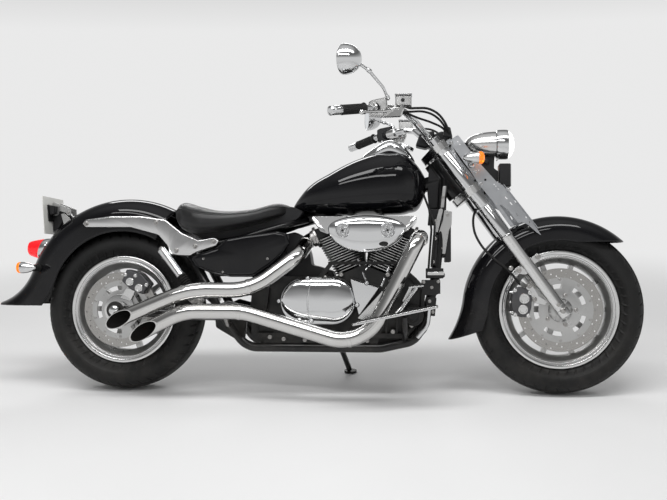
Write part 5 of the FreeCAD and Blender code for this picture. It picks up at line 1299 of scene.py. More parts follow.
WHEELS = [
    ("front", FRONT_AXLE, 320, 150, 203, 49.5, -83, 156, 118),
    ("rear", REAR_AXLE, 315, 180, 190, 59.4, -93, 146, 110),
]
for end, axle, radius, width, bead, rim_half, disc_y, disc_radius, band in WHEELS:
    body = end + "_wheel_body"
    rubber = make_tyre_rubber(end + "_tyre_rubber", axle, radius, bead)
    grid = tyre_skin(axle, radius, width, bead, rim_half)
    placed_piece(end + "_tyre_tread", tread_mesh(end + "_tyre_tread", grid), rubber, body,
                 [end + "_tyre"])
    alloy = make_wheel_alloy(end + "_wheel_alloy", axle, bead)
    dressed(end + "_wheel", alloy)
    lips = skin_mesh(end + "_rim_lips", wheel_trim(axle, bead, rim_half), 50)
    placed_piece(end + "_rim_lips", lips, polished_alloy, body)
    brake_disc(end, axle, disc_y, disc_radius, band, 44)
dressed("rear_axle", bare_steel)


# Fork legs: alloy sliders below, chromed covers above, all turned about one line and stepped
# where one slides in the next; the axle's pinch bolts are at the foot.

STEER_X = 850
STEER_Z = 320
RAKE_COS = 0.8080
RAKE_SIN = 0.5892


def fork_point(ahead, left, up):
    """Upright point given ahead of, beside and up the steering line."""
    return np.array([STEER_X + RAKE_COS * ahead - RAKE_SIN * up, left,
                     STEER_Z + RAKE_SIN * ahead + RAKE_COS * up])


UP_FORK = fork_point(0, 0, 1) - fork_point(0, 0, 0)
SLIDER = [(-20, 0), (-20, 18), (-17, 22.5), (-11, 24), (12, 24), (13.5, 23), (27, 23), (28.5, 24), (338, 24),
          (341, 25.4), (350, 25.4), (352, 24.6), (352, 20), (352, 0)]
COVER = [(352.3, 0), (352.3, 22), (354, 24.2), (481, 24.2), (482.5, 23.4), (485.5, 23.4), (487, 26),
         (490, 27), (727, 27), (729, 25.8), (732.5, 25.8), (734.5, 27), (775, 27), (778, 26), (778, 20.5),
         (801, 20.5), (804, 18), (804, 0)]
sliders = [turned(SLIDER, fork_point(-10.6, y, 0), UP_FORK, 56) for y in (-118, 118)]
covers = [turned(COVER, fork_point(-10.6, y, 0), UP_FORK, 56) for y in (-118, 118)]
shaped_piece("fork_sliders", sliders, 32, polished_alloy, "front_fork", ["fork_legs"])
shaped_piece("fork_covers", covers, 32, chrome, "front_fork")
pinches = []
for y in (-1, 1):
    pinches += bolt_heads([fork_point(-10.6, y * 141.5, w) for w in (6, 34)], (0, y, 0), 4.6)
    pinches += [turned([(0, 0), (0, 7.5), (3, 7.5), (3.5, 6), (3.5, 0)], fork_point(-10.6, y * 140.5, w),
                       (0, y, 0), 24) for w in (6, 34)]
shaped_piece("fork_pinch_bolts", pinches, 30, bare_steel, "front_fork")
dressed("triple_clamps", polished_alloy)
dressed("front_axle", bare_steel)


# Fork plates: brushed steel sheet beside the legs, bored and slotted, with a folded front edge
# and a narrow wedge cut from its lower half; a black bracket between them carries the lamp.

def fork_sheet(outline, low, high, edge=0.8):
    """Sheet drawn in fork coordinates (ahead, up), between two heights, its rim eased."""
    outline = np.asarray(outline, float)
    layers = [(0.97, low), (1.0, low + edge), (1.0, high - edge), (0.97, high)]
    middle = outline.mean(axis=0)
    size = np.abs(outline - middle).max()
    rows = []
    for share, y in layers:
        ring = middle + (outline - middle) * (1 - (1 - share) * 25 / size)
        rows.append(fork_point(ring[:, 0], np.full(len(ring), float(y)), ring[:, 1]).T)
    return np.stack(rows)


def strip(start, finish, half_start, half_finish):
    """Outline of a straight slot that may widen, from (ahead, up) points."""
    start, finish = np.array(start, float), np.array(finish, float)
    along = (finish - start) / np.linalg.norm(finish - start)
    square = np.array([-along[1], along[0]])
    return corner_ring([start - square * half_start, finish - square * half_finish,
                        finish + square * half_finish, start + square * half_start],
                       min(half_start, half_finish) * 1.2, 40)


FORK_PLATE = [(32, 764), (74, 763), (76, 617), (84, 530), (92, 522), (94.5, 512), (98, 468), (100, 392),
              (101, 327), (97, 271), (88, 299), (81, 335), (69, 355.7), (56, 359), (55, 397), (53.4, 432),
              (41.3, 461), (40, 414), (38.6, 361), (25, 364), (26, 423), (29, 481), (25, 560), (30, 620)]
PLATE_BORES = [(70.8, 531, 2), (72.2, 521.6, 2), (73.3, 508, 2.6), (91.5, 515.7, 2.2), (57.8, 606.3, 3),
               (54.8, 564.4, 4.4), (45, 742, 2.6), (58, 742, 2.6), (45, 729, 2.6), (58, 729, 2.6),
               (50, 686, 2.2)]
PLATE_SLOTS = [((75.4, 469.5), (77.2, 457), 2, 2), ((77.7, 442.4), (78.8, 429), 2, 2),
               ((95.0, 437), (95.4, 427.6), 1.6, 1.6), ((72.7, 398), (70.9, 382.5), 1.8, 2.4),
               ((92.3, 364), (92, 358), 2, 2), ((91.4, 343), (91, 338), 2, 2)]
for side, name in ((-1, "right"), (1, "left")):
    low, high = sorted((side * 98.2, side * 101))
    blank = skin_mesh("blank", [fork_sheet(corner_ring(FORK_PLATE, 5), low, high)], 30)
    cuts = [turned([(0, 0), (0, r), (12, r), (12, 0)], fork_point(u, low - 5, w), ALONG_Y, 20)
            for u, w, r in PLATE_BORES]
    cuts += [fork_sheet(strip(*slot), low - 5, high + 5, 0.1) for slot in PLATE_SLOTS]
    plate = pierced("fork_plate_" + name, blank, skin_mesh("plate_cuts", cuts, 30))
    placed_piece("fork_plate_" + name, plate, brushed_plate, "front_fork",
                 ["fork_plates"] if side < 0 else [])
    low, high = sorted((side * 101, side * 110))
    fold = [fork_sheet(corner_ring([(97, 512), (99.6, 512), (103.6, 300), (101, 300)], 0.8, 60),
                       low, high, 0.4)]
    fold += [fork_sheet(corner_ring([(22, w), (44, w), (44, w + 18), (22, w + 18)], 4, 60),
                        *sorted((side * 84, side * 98.4)), 1.0) for w in (553, 752)]
    shaped_piece("fork_plate_fold_" + name, fold, 30, brushed_plate, "front_fork")
    heads = bolt_heads([fork_point(33, side * 101, 562), fork_point(36, side * 101, 752),
                        fork_point(43, side * 101, 611)], (0, side, 0), 5.5)
    heads += bolt_heads([fork_point(101, side * 110, 481.6)], (0, side, 0), 5)
    heads.append(turned([(0, 0), (0, 12), (2, 12), (6, 8), (7, 0)],
                        fork_point(46, side * 101, 640), (0, side, 0), 28))
    shaped_piece("fork_plate_bolts_" + name, heads, 30, chrome, "front_fork")

LAMP_REAR = fork_point(81, 0, 725.6)
bracket = np.array([(-8, -212), (72, -154), (130, -142), (130, -104), (114, -92), (116, -32), (72, -32),
                    (58, -104)]) + LAMP_REAR[[0, 2]]
knob = turned([(0, 0), (0, 9), (3, 11), (9, 11), (12, 8), (13, 0)],
              LAMP_REAR + [84, -13, -66], (0, -1, 0), 28)
shaped_piece("lamp_bracket", [machine_sheet(bracket, -13, 13, 2), knob], 30, black_plastic, "front_fork")


# Headlight: a bullet shell in soft chrome, a polished bezel with its reflector bowl inside, and
# a domed lens that is lit.

SHELL = [(0, 0), (0.6, 9), (6, 19), (18, 30), (38, 39.5), (62, 46), (90, 49.6), (116, 51), (121, 51),
         (121.5, 50), (121.5, 40), (110, 28), (110, 0)]
BEZEL = [(116, 0), (116, 13), (120, 22), (130, 37), (146, 48), (160, 52.4), (166, 53), (168, 54.6),
         (166.5, 56.4), (160, 57.8), (148, 58), (132, 57.6), (124, 55.6), (121.8, 53), (121.8, 47),
         (112.5, 28), (112.5, 0)]
LENS = [(164, 0), (164, 52), (168.5, 52.4), (173, 50), (179, 44), (184.5, 35), (188.5, 24), (191, 12),
        (192, 0)]


def lens_glass(name, colour, glow, low=0.04):
    """Moulded lens: clear or tinted, faintly ribbed, with a little light of its own."""
    made, tree, bsdf, where = finish(name, Transmission_Weight=0.72, IOR=1.49, Emission_Strength=glow)
    marks = use_group(tree, wiping_marks, {"Where": where, "Size": 30.0, "Low": low, "High": low + 0.08})
    tone = use_group(tree, grain, {"Where": where, "Size": 300.0, "Colour": (*colour, 1), "Spread": 0.08})
    tree.links.new(tone["Colour"], bsdf.inputs["Base Color"])
    tree.links.new(tone["Colour"], bsdf.inputs["Emission Color"])
    tree.links.new(marks["Roughness"], bsdf.inputs["Roughness"])
    ribs = add(tree, "ShaderNodeTexWave", {"Vector": where, "Scale": 60.0, "Distortion": 0.0},
               bands_direction="Y").outputs["Fac"]
    surface_bump(tree, bsdf, ribs, 0.0004)
    return made


clear_glass = lens_glass("headlight_glass", (0.97, 0.97, 0.95), 0.85)
amber_glass = lens_glass("amber_glass", (0.95, 0.30, 0.015), 0.34, 0.10)
red_glass = lens_glass("red_glass", (0.75, 0.012, 0.018), 0.42, 0.08)
shaped_piece("headlight_bullet", [turned(SHELL, LAMP_REAR, ALONG_X, 96)], 40, soft_chrome, "front_fork",
             ["headlight_shell"])
shaped_piece("headlight_bezel", [turned(BEZEL, LAMP_REAR, ALONG_X, 96)], 34, chrome, "front_fork")
shaped_piece("headlight_glass", [turned(LENS, LAMP_REAR, ALONG_X, 96)], 34, clear_glass, "front_fork",
             ["headlight_lens"])
shaped_piece("headlight_bulb", [turned([(114, 0), (114, 9), (140, 9), (142, 6), (152, 6), (156, 4), (158, 0)],
                                       LAMP_REAR, ALONG_X, 32)], 34, soft_chrome, "front_fork")
rim_screws = bolt_heads([LAMP_REAR + [127, -20, -56.5], LAMP_REAR + [127, 20, -56.5]], (0, 0, -1), 3)
shaped_piece("headlight_screws", rim_screws, 30, bare_steel, "front_fork")


# Relay box under the lamp: a moulded black case with a bright front edge.
box = machine_sheet([(620, 788), (662, 788), (662, 877), (620, 877)], -41, 41, 3, 6)
shaped_piece("relay_case", [box], 30, black_plastic, "front_fork", ["relay_box"])
edge = machine_sheet([(661.4, 790), (664, 790), (664, 875), (661.4, 875)], -38, 38, 0.6, 1)
shaped_piece("relay_case_edge", [edge], 30, soft_chrome, "front_fork")


# Turn signals: chromed bullets on chromed stalks, an amber ring and dome at the open end.

SIGNAL_BODY = [(0.3, 0), (0.3, 21), (-1, 22), (-9, 22), (-24, 20.4), (-40, 16), (-52, 9.5), (-59, 3),
               (-61, 0)]
SIGNAL_LENS = [(0.6, 0), (0.6, 22.4), (2, 23), (11, 23), (14, 21.5), (18, 17), (21, 9), (22, 0)]
signal_bodies, signal_lenses, stalks = [], [], []
for side in (-1, 1):
    at = fork_point(73, 190 * side, 640)
    signal_bodies.append(turned(SIGNAL_BODY, at, ALONG_X, 48))
    signal_bodies.append(looped(turned([(-3, 22.2), (-3, 22.8), (0, 22.8), (0, 22.2)], at, ALONG_X, 48)))
    signal_lenses.append(turned(SIGNAL_LENS, at, ALONG_X, 48))
    foot = at * [1, 0, 1] + [-25, side * 101.6, 0]
    stalks.append(turned([(0, 0), (0, 13), (3, 13), (6, 9), (60, 7.5), (72, 8.5), (72, 0)],
                         foot, (0, side, 0), 32))
shaped_piece("front_signal_shells", signal_bodies, 34, chrome, "front_fork", ["front_indicators"])
shaped_piece("front_signal_stalks", stalks, 34, chrome, "front_fork")
shaped_piece("front_signal_lenses", signal_lenses, 34, amber_glass, "front_fork",
             ["front_indicator_lenses"])


# Front brake: a cast caliper of two halves over the disc, round piston caps, bolted to lugs on
# the leg; the fender's stay has two bolted tabs above it and the hose ends in a banjo.

FRONT_CALIPER = [(662, 300), (716, 292), (728, 330), (730, 372), (716, 396), (690, 408), (664, 398),
                 (652, 352)]
body = [machine_sheet(FRONT_CALIPER, -112, -91, 3, 12),
        machine_sheet([(656, 300), (700, 292), (704, 404), (668, 404), (650, 350)], -91.5, -79.6, 2, 10),
        machine_sheet(FRONT_CALIPER, -76, -58, 3, 12)]
shaped_piece("front_caliper_body", body, 34, dark_alloy, "front_fork", ["front_caliper"])
caps = []
for x, z, r in ((702, 363, 19), (697, 323, 18)):
    caps.append(turned([(100, 0), (100, r), (115.5, r), (117, r - 1.5), (117, r - 5), (115.8, r - 6),
                        (115.8, 0)], (x, 0, z), (0, -1, 0), 48))
for z in (384, 346, 308):
    caps.append(turned([(0, 0), (0, 6.5), (26, 6.5), (26, 4), (34, 4), (35, 0)],
                       (682, -104, z), (-1, 0, 0.1), 20))
caps += bolt_heads([(668, -112, 302), (668, -112, 394), (722, -112, 384), (716, -112, 300)], (0, -1, 0), 6)
shaped_piece("front_caliper_caps", caps, 34, polished_alloy, "front_fork")
lugs = [machine_sheet([(708, 404), (722, 424), (744, 396), (756, 372), (790, 350), (778, 338), (742, 346),
                       (724, 366)], -101, -91, 2, 6),
        machine_sheet([(670, 456), (664, 474), (678, 482), (716, 482), (730, 462), (704, 452)],
                      -128, -122, 1.5, 8),
        machine_sheet([(712, 502), (746, 532), (762, 524), (758, 508), (728, 482)], -128, -122, 1.5, 8),
        machine_sheet([(672, 464), (700, 484), (738, 500), (724, 480), (700, 464)], -122.5, -92, 1.5, 6)]
shaped_piece("front_brake_lugs", lugs, 34, polished_alloy, "front_fork")
heads = bolt_heads([(680.8, -128, 467), (749, -128, 518)], (0, -1, 0), 8)
heads += bolt_heads([(722, -101, 410), (740, -101, 360)], (0, -1, 0), 8)
heads.append(turned([(-6, 0), (-6, 9), (6, 9), (7, 6), (10, 6), (10, 0)], (654, -106, 476), (0, -1, 0), 28))
shaped_piece("front_brake_bolts", heads, 34, bare_steel, "front_fork")


# Rear: chromed struts bolted over the fender, shocks below them, the brake's caliper and bracket
# plate, the axle's cap, and moulded side covers in gloss black.

def rim_inset(ring, distance):
    """Closed outline moved inward along its own normals."""
    along = np.roll(ring, -1, axis=0) - np.roll(ring, 1, axis=0)
    along = along / np.linalg.norm(along, axis=1)[:, None]
    area = 0.5 * np.sum(ring[:, 0] * np.roll(ring[:, 1], -1) - np.roll(ring[:, 0], -1) * ring[:, 1])
    return ring + np.stack([-along[:, 1], along[:, 0]], axis=1) * distance * np.sign(area)


def rounded_sheet(outline, steps, reach, count=220):
    """Sheet whose rim follows (inset, Y) steps from its inner to its outer face."""
    ring = corner_ring(outline, reach, count)
    rows = []
    for inset, y in steps:
        moved = rim_inset(ring, inset)
        rows.append(np.stack([moved[:, 0], np.full(len(moved), float(y)), moved[:, 1]], axis=1))
    return np.stack(rows)


BOTH = ((1, 1, 1), (1, -1, 1))


def mirrored_too(grids):
    """Each grid and its mirror image across the machine's middle."""
    return [grid * np.array(side) for grid in grids for side in BOTH]


STRUT = [(-994, 651), (-982, 666), (-883, 679), (-760, 679), (-663, 664), (-596, 612), (-530, 584),
         (-470, 596), (-450, 580), (-462, 562), (-536, 539), (-566, 524), (-650, 528), (-650, 560),
         (-690, 606), (-800, 636), (-982, 637)]
STRUT_STEPS = [(0.8, -118.8), (0, -119.6), (0, -123.6), (0.7, -125.4), (2.4, -126.6), (5.0, -127.2)]
strut = rounded_sheet(STRUT, STRUT_STEPS, 12, 300)
pegs = [round_bar((x, -119, z), (x, -98, z), 9) for x, z in ((-979, 648), (-700, 652))]
pegs.append(round_bar((-544, -119, 556), (-544, -100, 556), 9))
struts = mirrored_too([strut] + pegs)
shaped_piece("fender_strut_plates", struts, 34, soft_chrome, "chassis", ["fender_struts"])
STRUT_BOLTS = [(-978, 650), (-699, 653), (-544, 560), (-471, 580), (-618, 544)]
caps = []
for x, z in STRUT_BOLTS:
    caps.append(turned([(0, 0), (0, 10), (1.4, 10), (2, 9), (2, 0)], (x, -126.8, z), (0, -1, 0), 28))
    caps.append(turned([(1, 0), (1, 6.5), (6, 6.5), (8, 5), (9, 0)], (x, -126.8, z), (0, -1, 0), 6))
caps = mirrored_too(caps)
shaped_piece("fender_strut_bolts", caps, 30, bare_steel, "chassis")

SHOCK_TOP = np.array([-672, -144, 548.0])
SHOCK_FOOT = np.array([-520, -144, 352.0])
DOWN_SHOCK = unit(SHOCK_FOOT - SHOCK_TOP)
CAN = [(-2, 0), (-2, 14), (0, 16.5), (118, 16.5), (120, 17.5), (124, 17.5), (126, 16), (128, 13), (200, 13),
       (200, 0)]
RINGS = [(128, 0)]
for rib in range(7):
    RINGS += [(128 + 9 * rib, 14), (129.5 + 9 * rib, 19.5), (132.5 + 9 * rib, 19.5), (134 + 9 * rib, 14)]
RINGS += [(192, 14), (192, 0)]
shocks = [turned(CAN, SHOCK_TOP, DOWN_SHOCK, 48)]
shaped_piece("shock_covers", mirrored_too(shocks), 34, chrome, "chassis", ["shock_absorbers"])
boots = [turned(RINGS, SHOCK_TOP, DOWN_SHOCK, 48),
         turned([(190, 0), (190, 15), (194, 18.5), (208, 18.5), (216, 14), (220, 12), (220, 0)],
                SHOCK_TOP, DOWN_SHOCK, 36)]
shaped_piece("shock_boots", mirrored_too(boots), 34, soft_rubber, "chassis")
eyes = [turned([(212, 0), (212, 9), (244, 9), (244, 0)], SHOCK_TOP, DOWN_SHOCK, 28),
        round_bar(SHOCK_FOOT + ALONG_Y * 14, SHOCK_FOOT - ALONG_Y * 14, 14.5, 36, 2),
        round_bar(SHOCK_TOP + ALONG_Y * 16, SHOCK_TOP + ALONG_Y * 2, 12.5, 36, 2)]
eyes += bolt_heads([SHOCK_FOOT - ALONG_Y * 14], (0, -1, 0), 9)
eyes += [machine_sheet([(-612, 404), (-590, 414), (-560, 372), (-530, 352), (-548, 336), (-584, 366)],
                       -136, -131, 1, 6, 80)]
shaped_piece("shock_eyes", mirrored_too(eyes), 34, bare_steel, "chassis")

REAR_CALIPER = np.array([(14, 112), (34, 158), (92, 142), (128, 100), (100, 60), (52, 78)]) + [-850, 315]
BRIDGE = np.array([(34, 158), (92, 142), (128, 100), (114, 98), (88, 123), (42, 146)]) + [-850, 315]
halves = [rounded_sheet(REAR_CALIPER, [(2.5, -97), (0.5, -98), (0, -100), (0, -120), (1.2, -124),
                                       (4, -126.6)], 14, 120),
          machine_sheet(BRIDGE, -98, -82, 1, 6, 80),
          machine_sheet(REAR_CALIPER, -83.5, -68, 2, 14, 120)]
shaped_piece("rear_caliper_body", halves, 34, dark_alloy, "chassis", ["rear_caliper"])
caps = [turned([(0, 0), (0, r), (5, r), (6.5, r - 1.6), (6.5, r - 5), (5.4, r - 6), (5.4, 0)],
               (x, -124, z), (0, -1, 0), 40) for x, z, r in ((-802, 424, 16), (-766, 400, 16))]
caps += bolt_heads([(-820, -126, 452), (-736, -126, 412), (-780, -126, 448)], (0, -1, 0), 6)
shaped_piece("rear_caliper_caps", caps, 34, polished_alloy, "chassis")
hub_plate = [turned([(0, 16), (0, 58), (0.8, 60), (2.6, 60), (3, 59), (3, 16)],
                    (-850, -103.2, 315), (0, -1, 0), 72),
             machine_sheet([(-846, 362), (-822, 400), (-786, 392), (-806, 348)], -106.5, -103.4, 0.6, 6, 80)]
shaped_piece("rear_brake_bracket", [looped(hub_plate[0]), hub_plate[1]], 34, polished_alloy, "chassis")
cap = turned([(0, 0), (0, 19), (2, 20), (5, 20), (9, 17.5), (12.5, 11), (14, 0)],
             (-850, -163.5, 315), (0, -1, 0), 48)
shaped_piece("rear_axle_cap", [cap], 34, chrome, "chassis")

COVER = [(-557, 512), (-534, 528), (-462, 550), (-437, 572), (-420, 588), (-344, 602), (-221, 617),
         (-184, 608), (-174, 571), (-197, 535), (-243, 489), (-313, 443), (-402, 443), (-477, 457),
         (-534, 480)]
cover_ring = corner_ring(COVER, 16, 220)
COVER_LAYERS = [(0.985, -124.6), (1, -125.6), (1, -141), (0.992, -145), (0.972, -148.6), (0.958, -149),
                (0.945, -148.2)]
cover = domed(cover_ring, (-352, 528),
              COVER_LAYERS + [(0.93 * share, y) for share, y in crown(-148.4, -155, 2.4, 22)])
covers = mirrored_too((cover, round_bar((-300, -126, 604), (-300, -78, 604), 6)))
shaped_piece("side_cover_shells", covers, 40, black_gloss, "chassis", ["side_covers"])
studs = bolt_heads([(-430, -148, 462), (-258, -149, 512), (-505, -148, 512)], (0, -1, 0), 4.5)
shaped_piece("side_cover_studs", studs, 30, bare_steel, "chassis")


# Rear lamps: a red tail lens whose chromed base is cut to the fender's slope, bullet signals on
# thick rubber stalks, and the blank plate on a black backing held by a pressed bracket.

def slanted_lamp(stations):
    """Rings along X, each (centre x, radius, slant): X also grows with height by the slant."""
    turn = np.linspace(0, 2 * math.pi, 72, endpoint=False)
    rows = [np.stack([x + slant * radius * np.sin(turn), radius * np.cos(turn),
                      557.4 + radius * np.sin(turn)], axis=1) for x, radius, slant in stations]
    return np.stack(rows)


lens = slanted_lamp([(-1211, 36, 0.34), (-1213, 38.2, 0.34), (-1218, 38.4, 0.31), (-1230, 36.6, 0.22),
                     (-1245, 33.4, 0.1), (-1256, 30.4, 0.03), (-1262, 27.6, 0), (-1265.6, 22, 0),
                     (-1267.6, 13, 0), (-1268.2, 2, 0)])
shaped_piece("tail_lens", [lens], 34, red_glass, "chassis", ["tail_lamp_lens"])
base = slanted_lamp([(-1170, 30, 0.55), (-1176, 38, 0.58), (-1188, 41, 0.56), (-1203, 41, 0.40),
                     (-1208, 40.4, 0.36), (-1211.6, 39.4, 0.34), (-1211.6, 36.4, 0.34), (-1206, 30, 0.36)])
base = skin_mesh("tail_lamp_base", [base], 34)
placed_piece("tail_lamp_base", base, chrome, "chassis", ["rear_lamp_bodies"])
signals, lenses, stalks = [], [], []
for side in (-1, 1):
    at = np.array([-1216, 180 * side, 479.0])
    signals.append(turned(SIGNAL_BODY, at, -ALONG_X, 48))
    lenses.append(turned([(0.6, 0), (0.6, 20.6), (2, 21), (8, 21), (11, 19), (13.2, 12), (14, 0)],
                         at, -ALONG_X, 48))
    stalks.append(turned([(0, 0), (0, 20), (4, 21), (14, 17), (60, 13), (74, 13), (74, 0)],
                         (-1181, 84 * side, 478), (0, side, 0), 36))
shaped_piece("rear_signal_shells", signals, 34, chrome, "chassis")
shaped_piece("rear_signal_lenses", lenses, 34, amber_glass, "chassis",
             ["rear_indicator_lenses"])
shaped_piece("rear_signal_stalks", stalks, 34, soft_rubber, "chassis")


def plate_sheet(half, low, high, reach, steps):
    """Sheet facing the rear: steps are (inset, forward offset) from the plate's rear face."""
    ring = corner_ring([(-half, low), (half, low), (half, high), (-half, high)], reach, 120)
    rows = []
    for inset, ahead in steps:
        moved = rim_inset(ring, inset)
        rows.append(np.stack([-1161 + ahead - 0.0698 * moved[:, 1], moved[:, 0],
                              614 + 0.9976 * moved[:, 1]], axis=1))
    return np.stack(rows)


sheet = plate_sheet(100, 0, 150, 9, [(3, 0.8), (2.2, 0), (1.2, -0.4), (0, 0), (0, 1.8), (0.6, 2.4)])
shaped_piece("plate_sheet", [sheet], 34, plate_white, "chassis", ["number_plate"])
holder = [plate_sheet(62, 52, 118, 8, [(1, 2.8), (0, 3.6), (0, 6.4), (1, 7.2), (8, 7.2), (9, 5.4)])]
holder += [machine_sheet([(-1157, 736), (-1106, 714), (-1102, 690), (-1136, 636), (-1156, 628)],
                         -24, 24, 2, 5),
           machine_sheet([(-1156, 690), (-1138, 694), (-1136, 726), (-1160, 730)], -60, 60, 2, 4)]
shaped_piece("plate_holder", holder, 34, black_plastic, "chassis")
BRACKET = [(-1158, 742), (-1146, 742), (-1082, 717), (-1080, 692), (-1096, 690), (-1100, 700), (-1128, 708),
           (-1136, 690), (-1157, 690)]
BRACE = [(-1122, 696), (-1108, 698), (-1072, 664), (-1096, 632), (-1106, 640)]
sheets = [machine_sheet(outline, low, high, 0.6, 3, 90) for outline in (BRACKET, BRACE)
          for low, high in ((-31, -27.6), (27.6, 31))]
shaped_piece("plate_bracket", sheets, 34, satin_alloy, "chassis")
screws = bolt_heads([(-1172 + 0.4, y, 752) for y in (-70, 70)], (-1, 0, 0), 5)
screws += bolt_heads([(-1092, -31, 702), (-1096, -31, 650), (-1146, -31, 720)], (0, -1, 0), 4.6)
shaped_piece("plate_screws", screws, 30, bare_steel, "chassis")


# Handlebar controls: ribbed rubber grips with chrome ends, switch housings, ball-ended levers in
# perches clamped to the bar, fluid reservoirs with a sight glass, and cables that hang in arcs.

BAR_END = np.array([11.6, -450.0, 1013.4])
GRIP_IN = unit(np.array([126.0, 120.0, 30.0]))
BEND = np.array([137.6, -330.0, 1043.4])
CONTROL_IN = unit(np.array([0.727, 0.685, 0.042]))
CAP = [(0, 0), (0, 9), (1, 13), (4, 16), (8, 16.5), (12, 16.5), (13, 15.4), (15, 15.4), (16, 16.5),
       (38, 16.5), (39, 15.6), (41, 15.6), (42, 16.5), (46, 16.5), (46, 0)]
shaped_piece("grip_ends", mirrored_too([turned(CAP, BAR_END, GRIP_IN, 48)]), 30, chrome, "front_fork")
GRIP_RIBS = 20
GRIP_COLUMNS = 80
RIB_HEIGHT = 0.045
along = np.concatenate([[46.3, 46.3, 48, 52, 54], np.linspace(56, 138, 24),
                        [140, 148, 150, 153, 154.3, 154.3]])
reach = np.concatenate([[0, 16, 17.8, 18.6, 17.2], np.full(24, 17.2), [17.2, 17.4, 20, 21, 20, 0]])
grip = turned(list(zip(along, reach)), BAR_END, GRIP_IN, GRIP_COLUMNS)
axis_points = BAR_END + along[:, None, None] * GRIP_IN
round_grip = np.arange(GRIP_COLUMNS) * 2 * math.pi / GRIP_COLUMNS
ribbed = 1 + RIB_HEIGHT * np.cos(round_grip * GRIP_RIBS)[None, :, None]
on_ribs = ((along > 54) & (along < 140))[:, None, None]
grip = np.where(on_ribs, axis_points + (grip - axis_points) * ribbed, grip)
shaped_piece("grip_rubbers", mirrored_too([grip]), 50, soft_rubber, "front_fork", ["grips"])

HOUSING = [(138, 1019), (136, 1066), (149, 1073), (199, 1083), (204, 1050), (186, 1015)]
cases = [turned([(14, 0), (14, 20), (17, 22), (62, 22), (66, 20), (66, 0)], BEND, CONTROL_IN, 48),
         machine_sheet(HOUSING, -326, -282, 4, 9)]
shaped_piece("switch_housing_right", cases, 34, satin_alloy, "front_fork", ["hand_controls"])
left_cases = [grid * np.array(BOTH[1]) for grid in cases]
shaped_piece("switch_housing_left", left_cases, 34, black_plastic, "front_fork")
root = np.array([249.4, -270.2, 1051.4])
lever = bent([root, (189.4, -358.2, 1025.4), (119.6, -438, 1009.4)], [60])
size = np.interp(np.linspace(0, 1, len(lever)), [0, 0.12, 0.75, 1], [7.5, 7.0, 5.2, 5.0])
ball = [(-9, 0), (-8.4, 3.4), (-6.4, 6.4), (-3.4, 8.4), (0, 9), (3.4, 8.4), (6.4, 6.4), (8.4, 3.4), (9, 0)]
levers = [carried(lever, size, 20), turned(ball, lever[-1], unit(lever[-1] - lever[-4]), 28),
          turned([(66, 0), (66, 17), (68, 19), (110, 19), (112, 17), (112, 0)], BEND, CONTROL_IN, 48),
          carried(bent([BEND + CONTROL_IN * 90, root + [-6, 8, 4], root], [10]), 9, 20),
          machine_sheet([(186, 1012), (186, 1038), (246, 1040), (256, 1062), (262, 1040), (250, 1014)],
                        -318, -292, 4, 8)]
shaped_piece("levers_and_perches", mirrored_too(levers), 34, polished_alloy, "front_fork")
TANK_CORNERS = [(230, 1058), (230, 1094), (288, 1094), (288, 1058)]
LID_CORNERS = [(228, 1094.2), (228, 1101), (290, 1101), (290, 1094.2)]
reservoirs = [machine_sheet(TANK_CORNERS, -288, -240, 4, 7)]
shaped_piece("fluid_reservoirs", mirrored_too(reservoirs), 34, satin_alloy, "front_fork")
lids = [machine_sheet(LID_CORNERS, -290, -238, 2, 3)]
shaped_piece("reservoir_lids", mirrored_too(lids), 34, chrome, "front_fork")
dark = [turned([(0, 0), (0, 7), (2, 7), (2.6, 6), (2.6, 0)], (257, -287, 1078), (0, -1, 0), 28),
        turned([(22, 22), (22, 24.5), (30, 24.5), (30, 22)], BEND, CONTROL_IN, 48),
        machine_sheet([(150, 1030), (152, 1048), (178, 1052), (180, 1032)], -330, -322, 2, 4)]
shaped_piece("switch_faces", mirrored_too(dark), 34, black_plastic, "front_fork")
pins = bolt_heads([(240, -289, 1098), (278, -289, 1098)], (0, -1, 0), 3.5)
pins += bolt_heads([(252, -270, 1060), (236, -264, 1101), (282, -264, 1101)], (0, 0, 1), 5)
shaped_piece("control_screws", mirrored_too(pins), 30, bare_steel, "front_fork")


def hanging(points, count=110):
    """Cubic curve through points, as a cable lies."""
    points = np.array(points, float)
    gone = np.concatenate([[0], np.cumsum(np.linalg.norm(np.diff(points, axis=0), axis=1))])
    at = np.linspace(0, gone[-1], count)
    return np.stack([eased(at, gone, points[:, n]) for n in range(3)], axis=-1)


HOSE_RUN = [(264, -262, 1060), (281, -236, 1058), (307, -214, 1062), (346, -196, 1063), (379, -180, 1050),
            (408, -152, 1022), (426, -122, 988)]
HOSE_RUN += [fork_point(*at) for at in ((46, -94, 768), (34, -76, 712), (34, -74, 610), (33, -76, 532),
                                        (-8, -82, 508), (-58, -88, 482), (-92, -98, 434), (-104, -108, 370),
                                        (-94, -110, 300), (-78, -104, 240), (-76, -101, 172))]
hose = carried(hanging(HOSE_RUN, 200), 4.5, 14)
shaped_piece("brake_hose", [hose], 50, soft_rubber, "front_fork", ["hoses"])
CABLE_RUNS = [
    [(270, -230, 1046), (284, -214, 1049), (330, -190, 1053), (362, -172, 1046), (392, -150, 1027),
     (411, -128, 1004), (424, -104, 977), (424, -78, 940)],
    [(250, -236, 1046), (264, -226, 1043), (313, -180, 1031), (363, -150, 1018), (405, -122, 1000),
     (424, -96, 976), (428, -64, 940)],
]
cables = [carried(hanging(run), 4.2, 12) for run in CABLE_RUNS]
shaped_piece("control_cables", mirrored_too(cables), 40, soft_rubber, "front_fork")
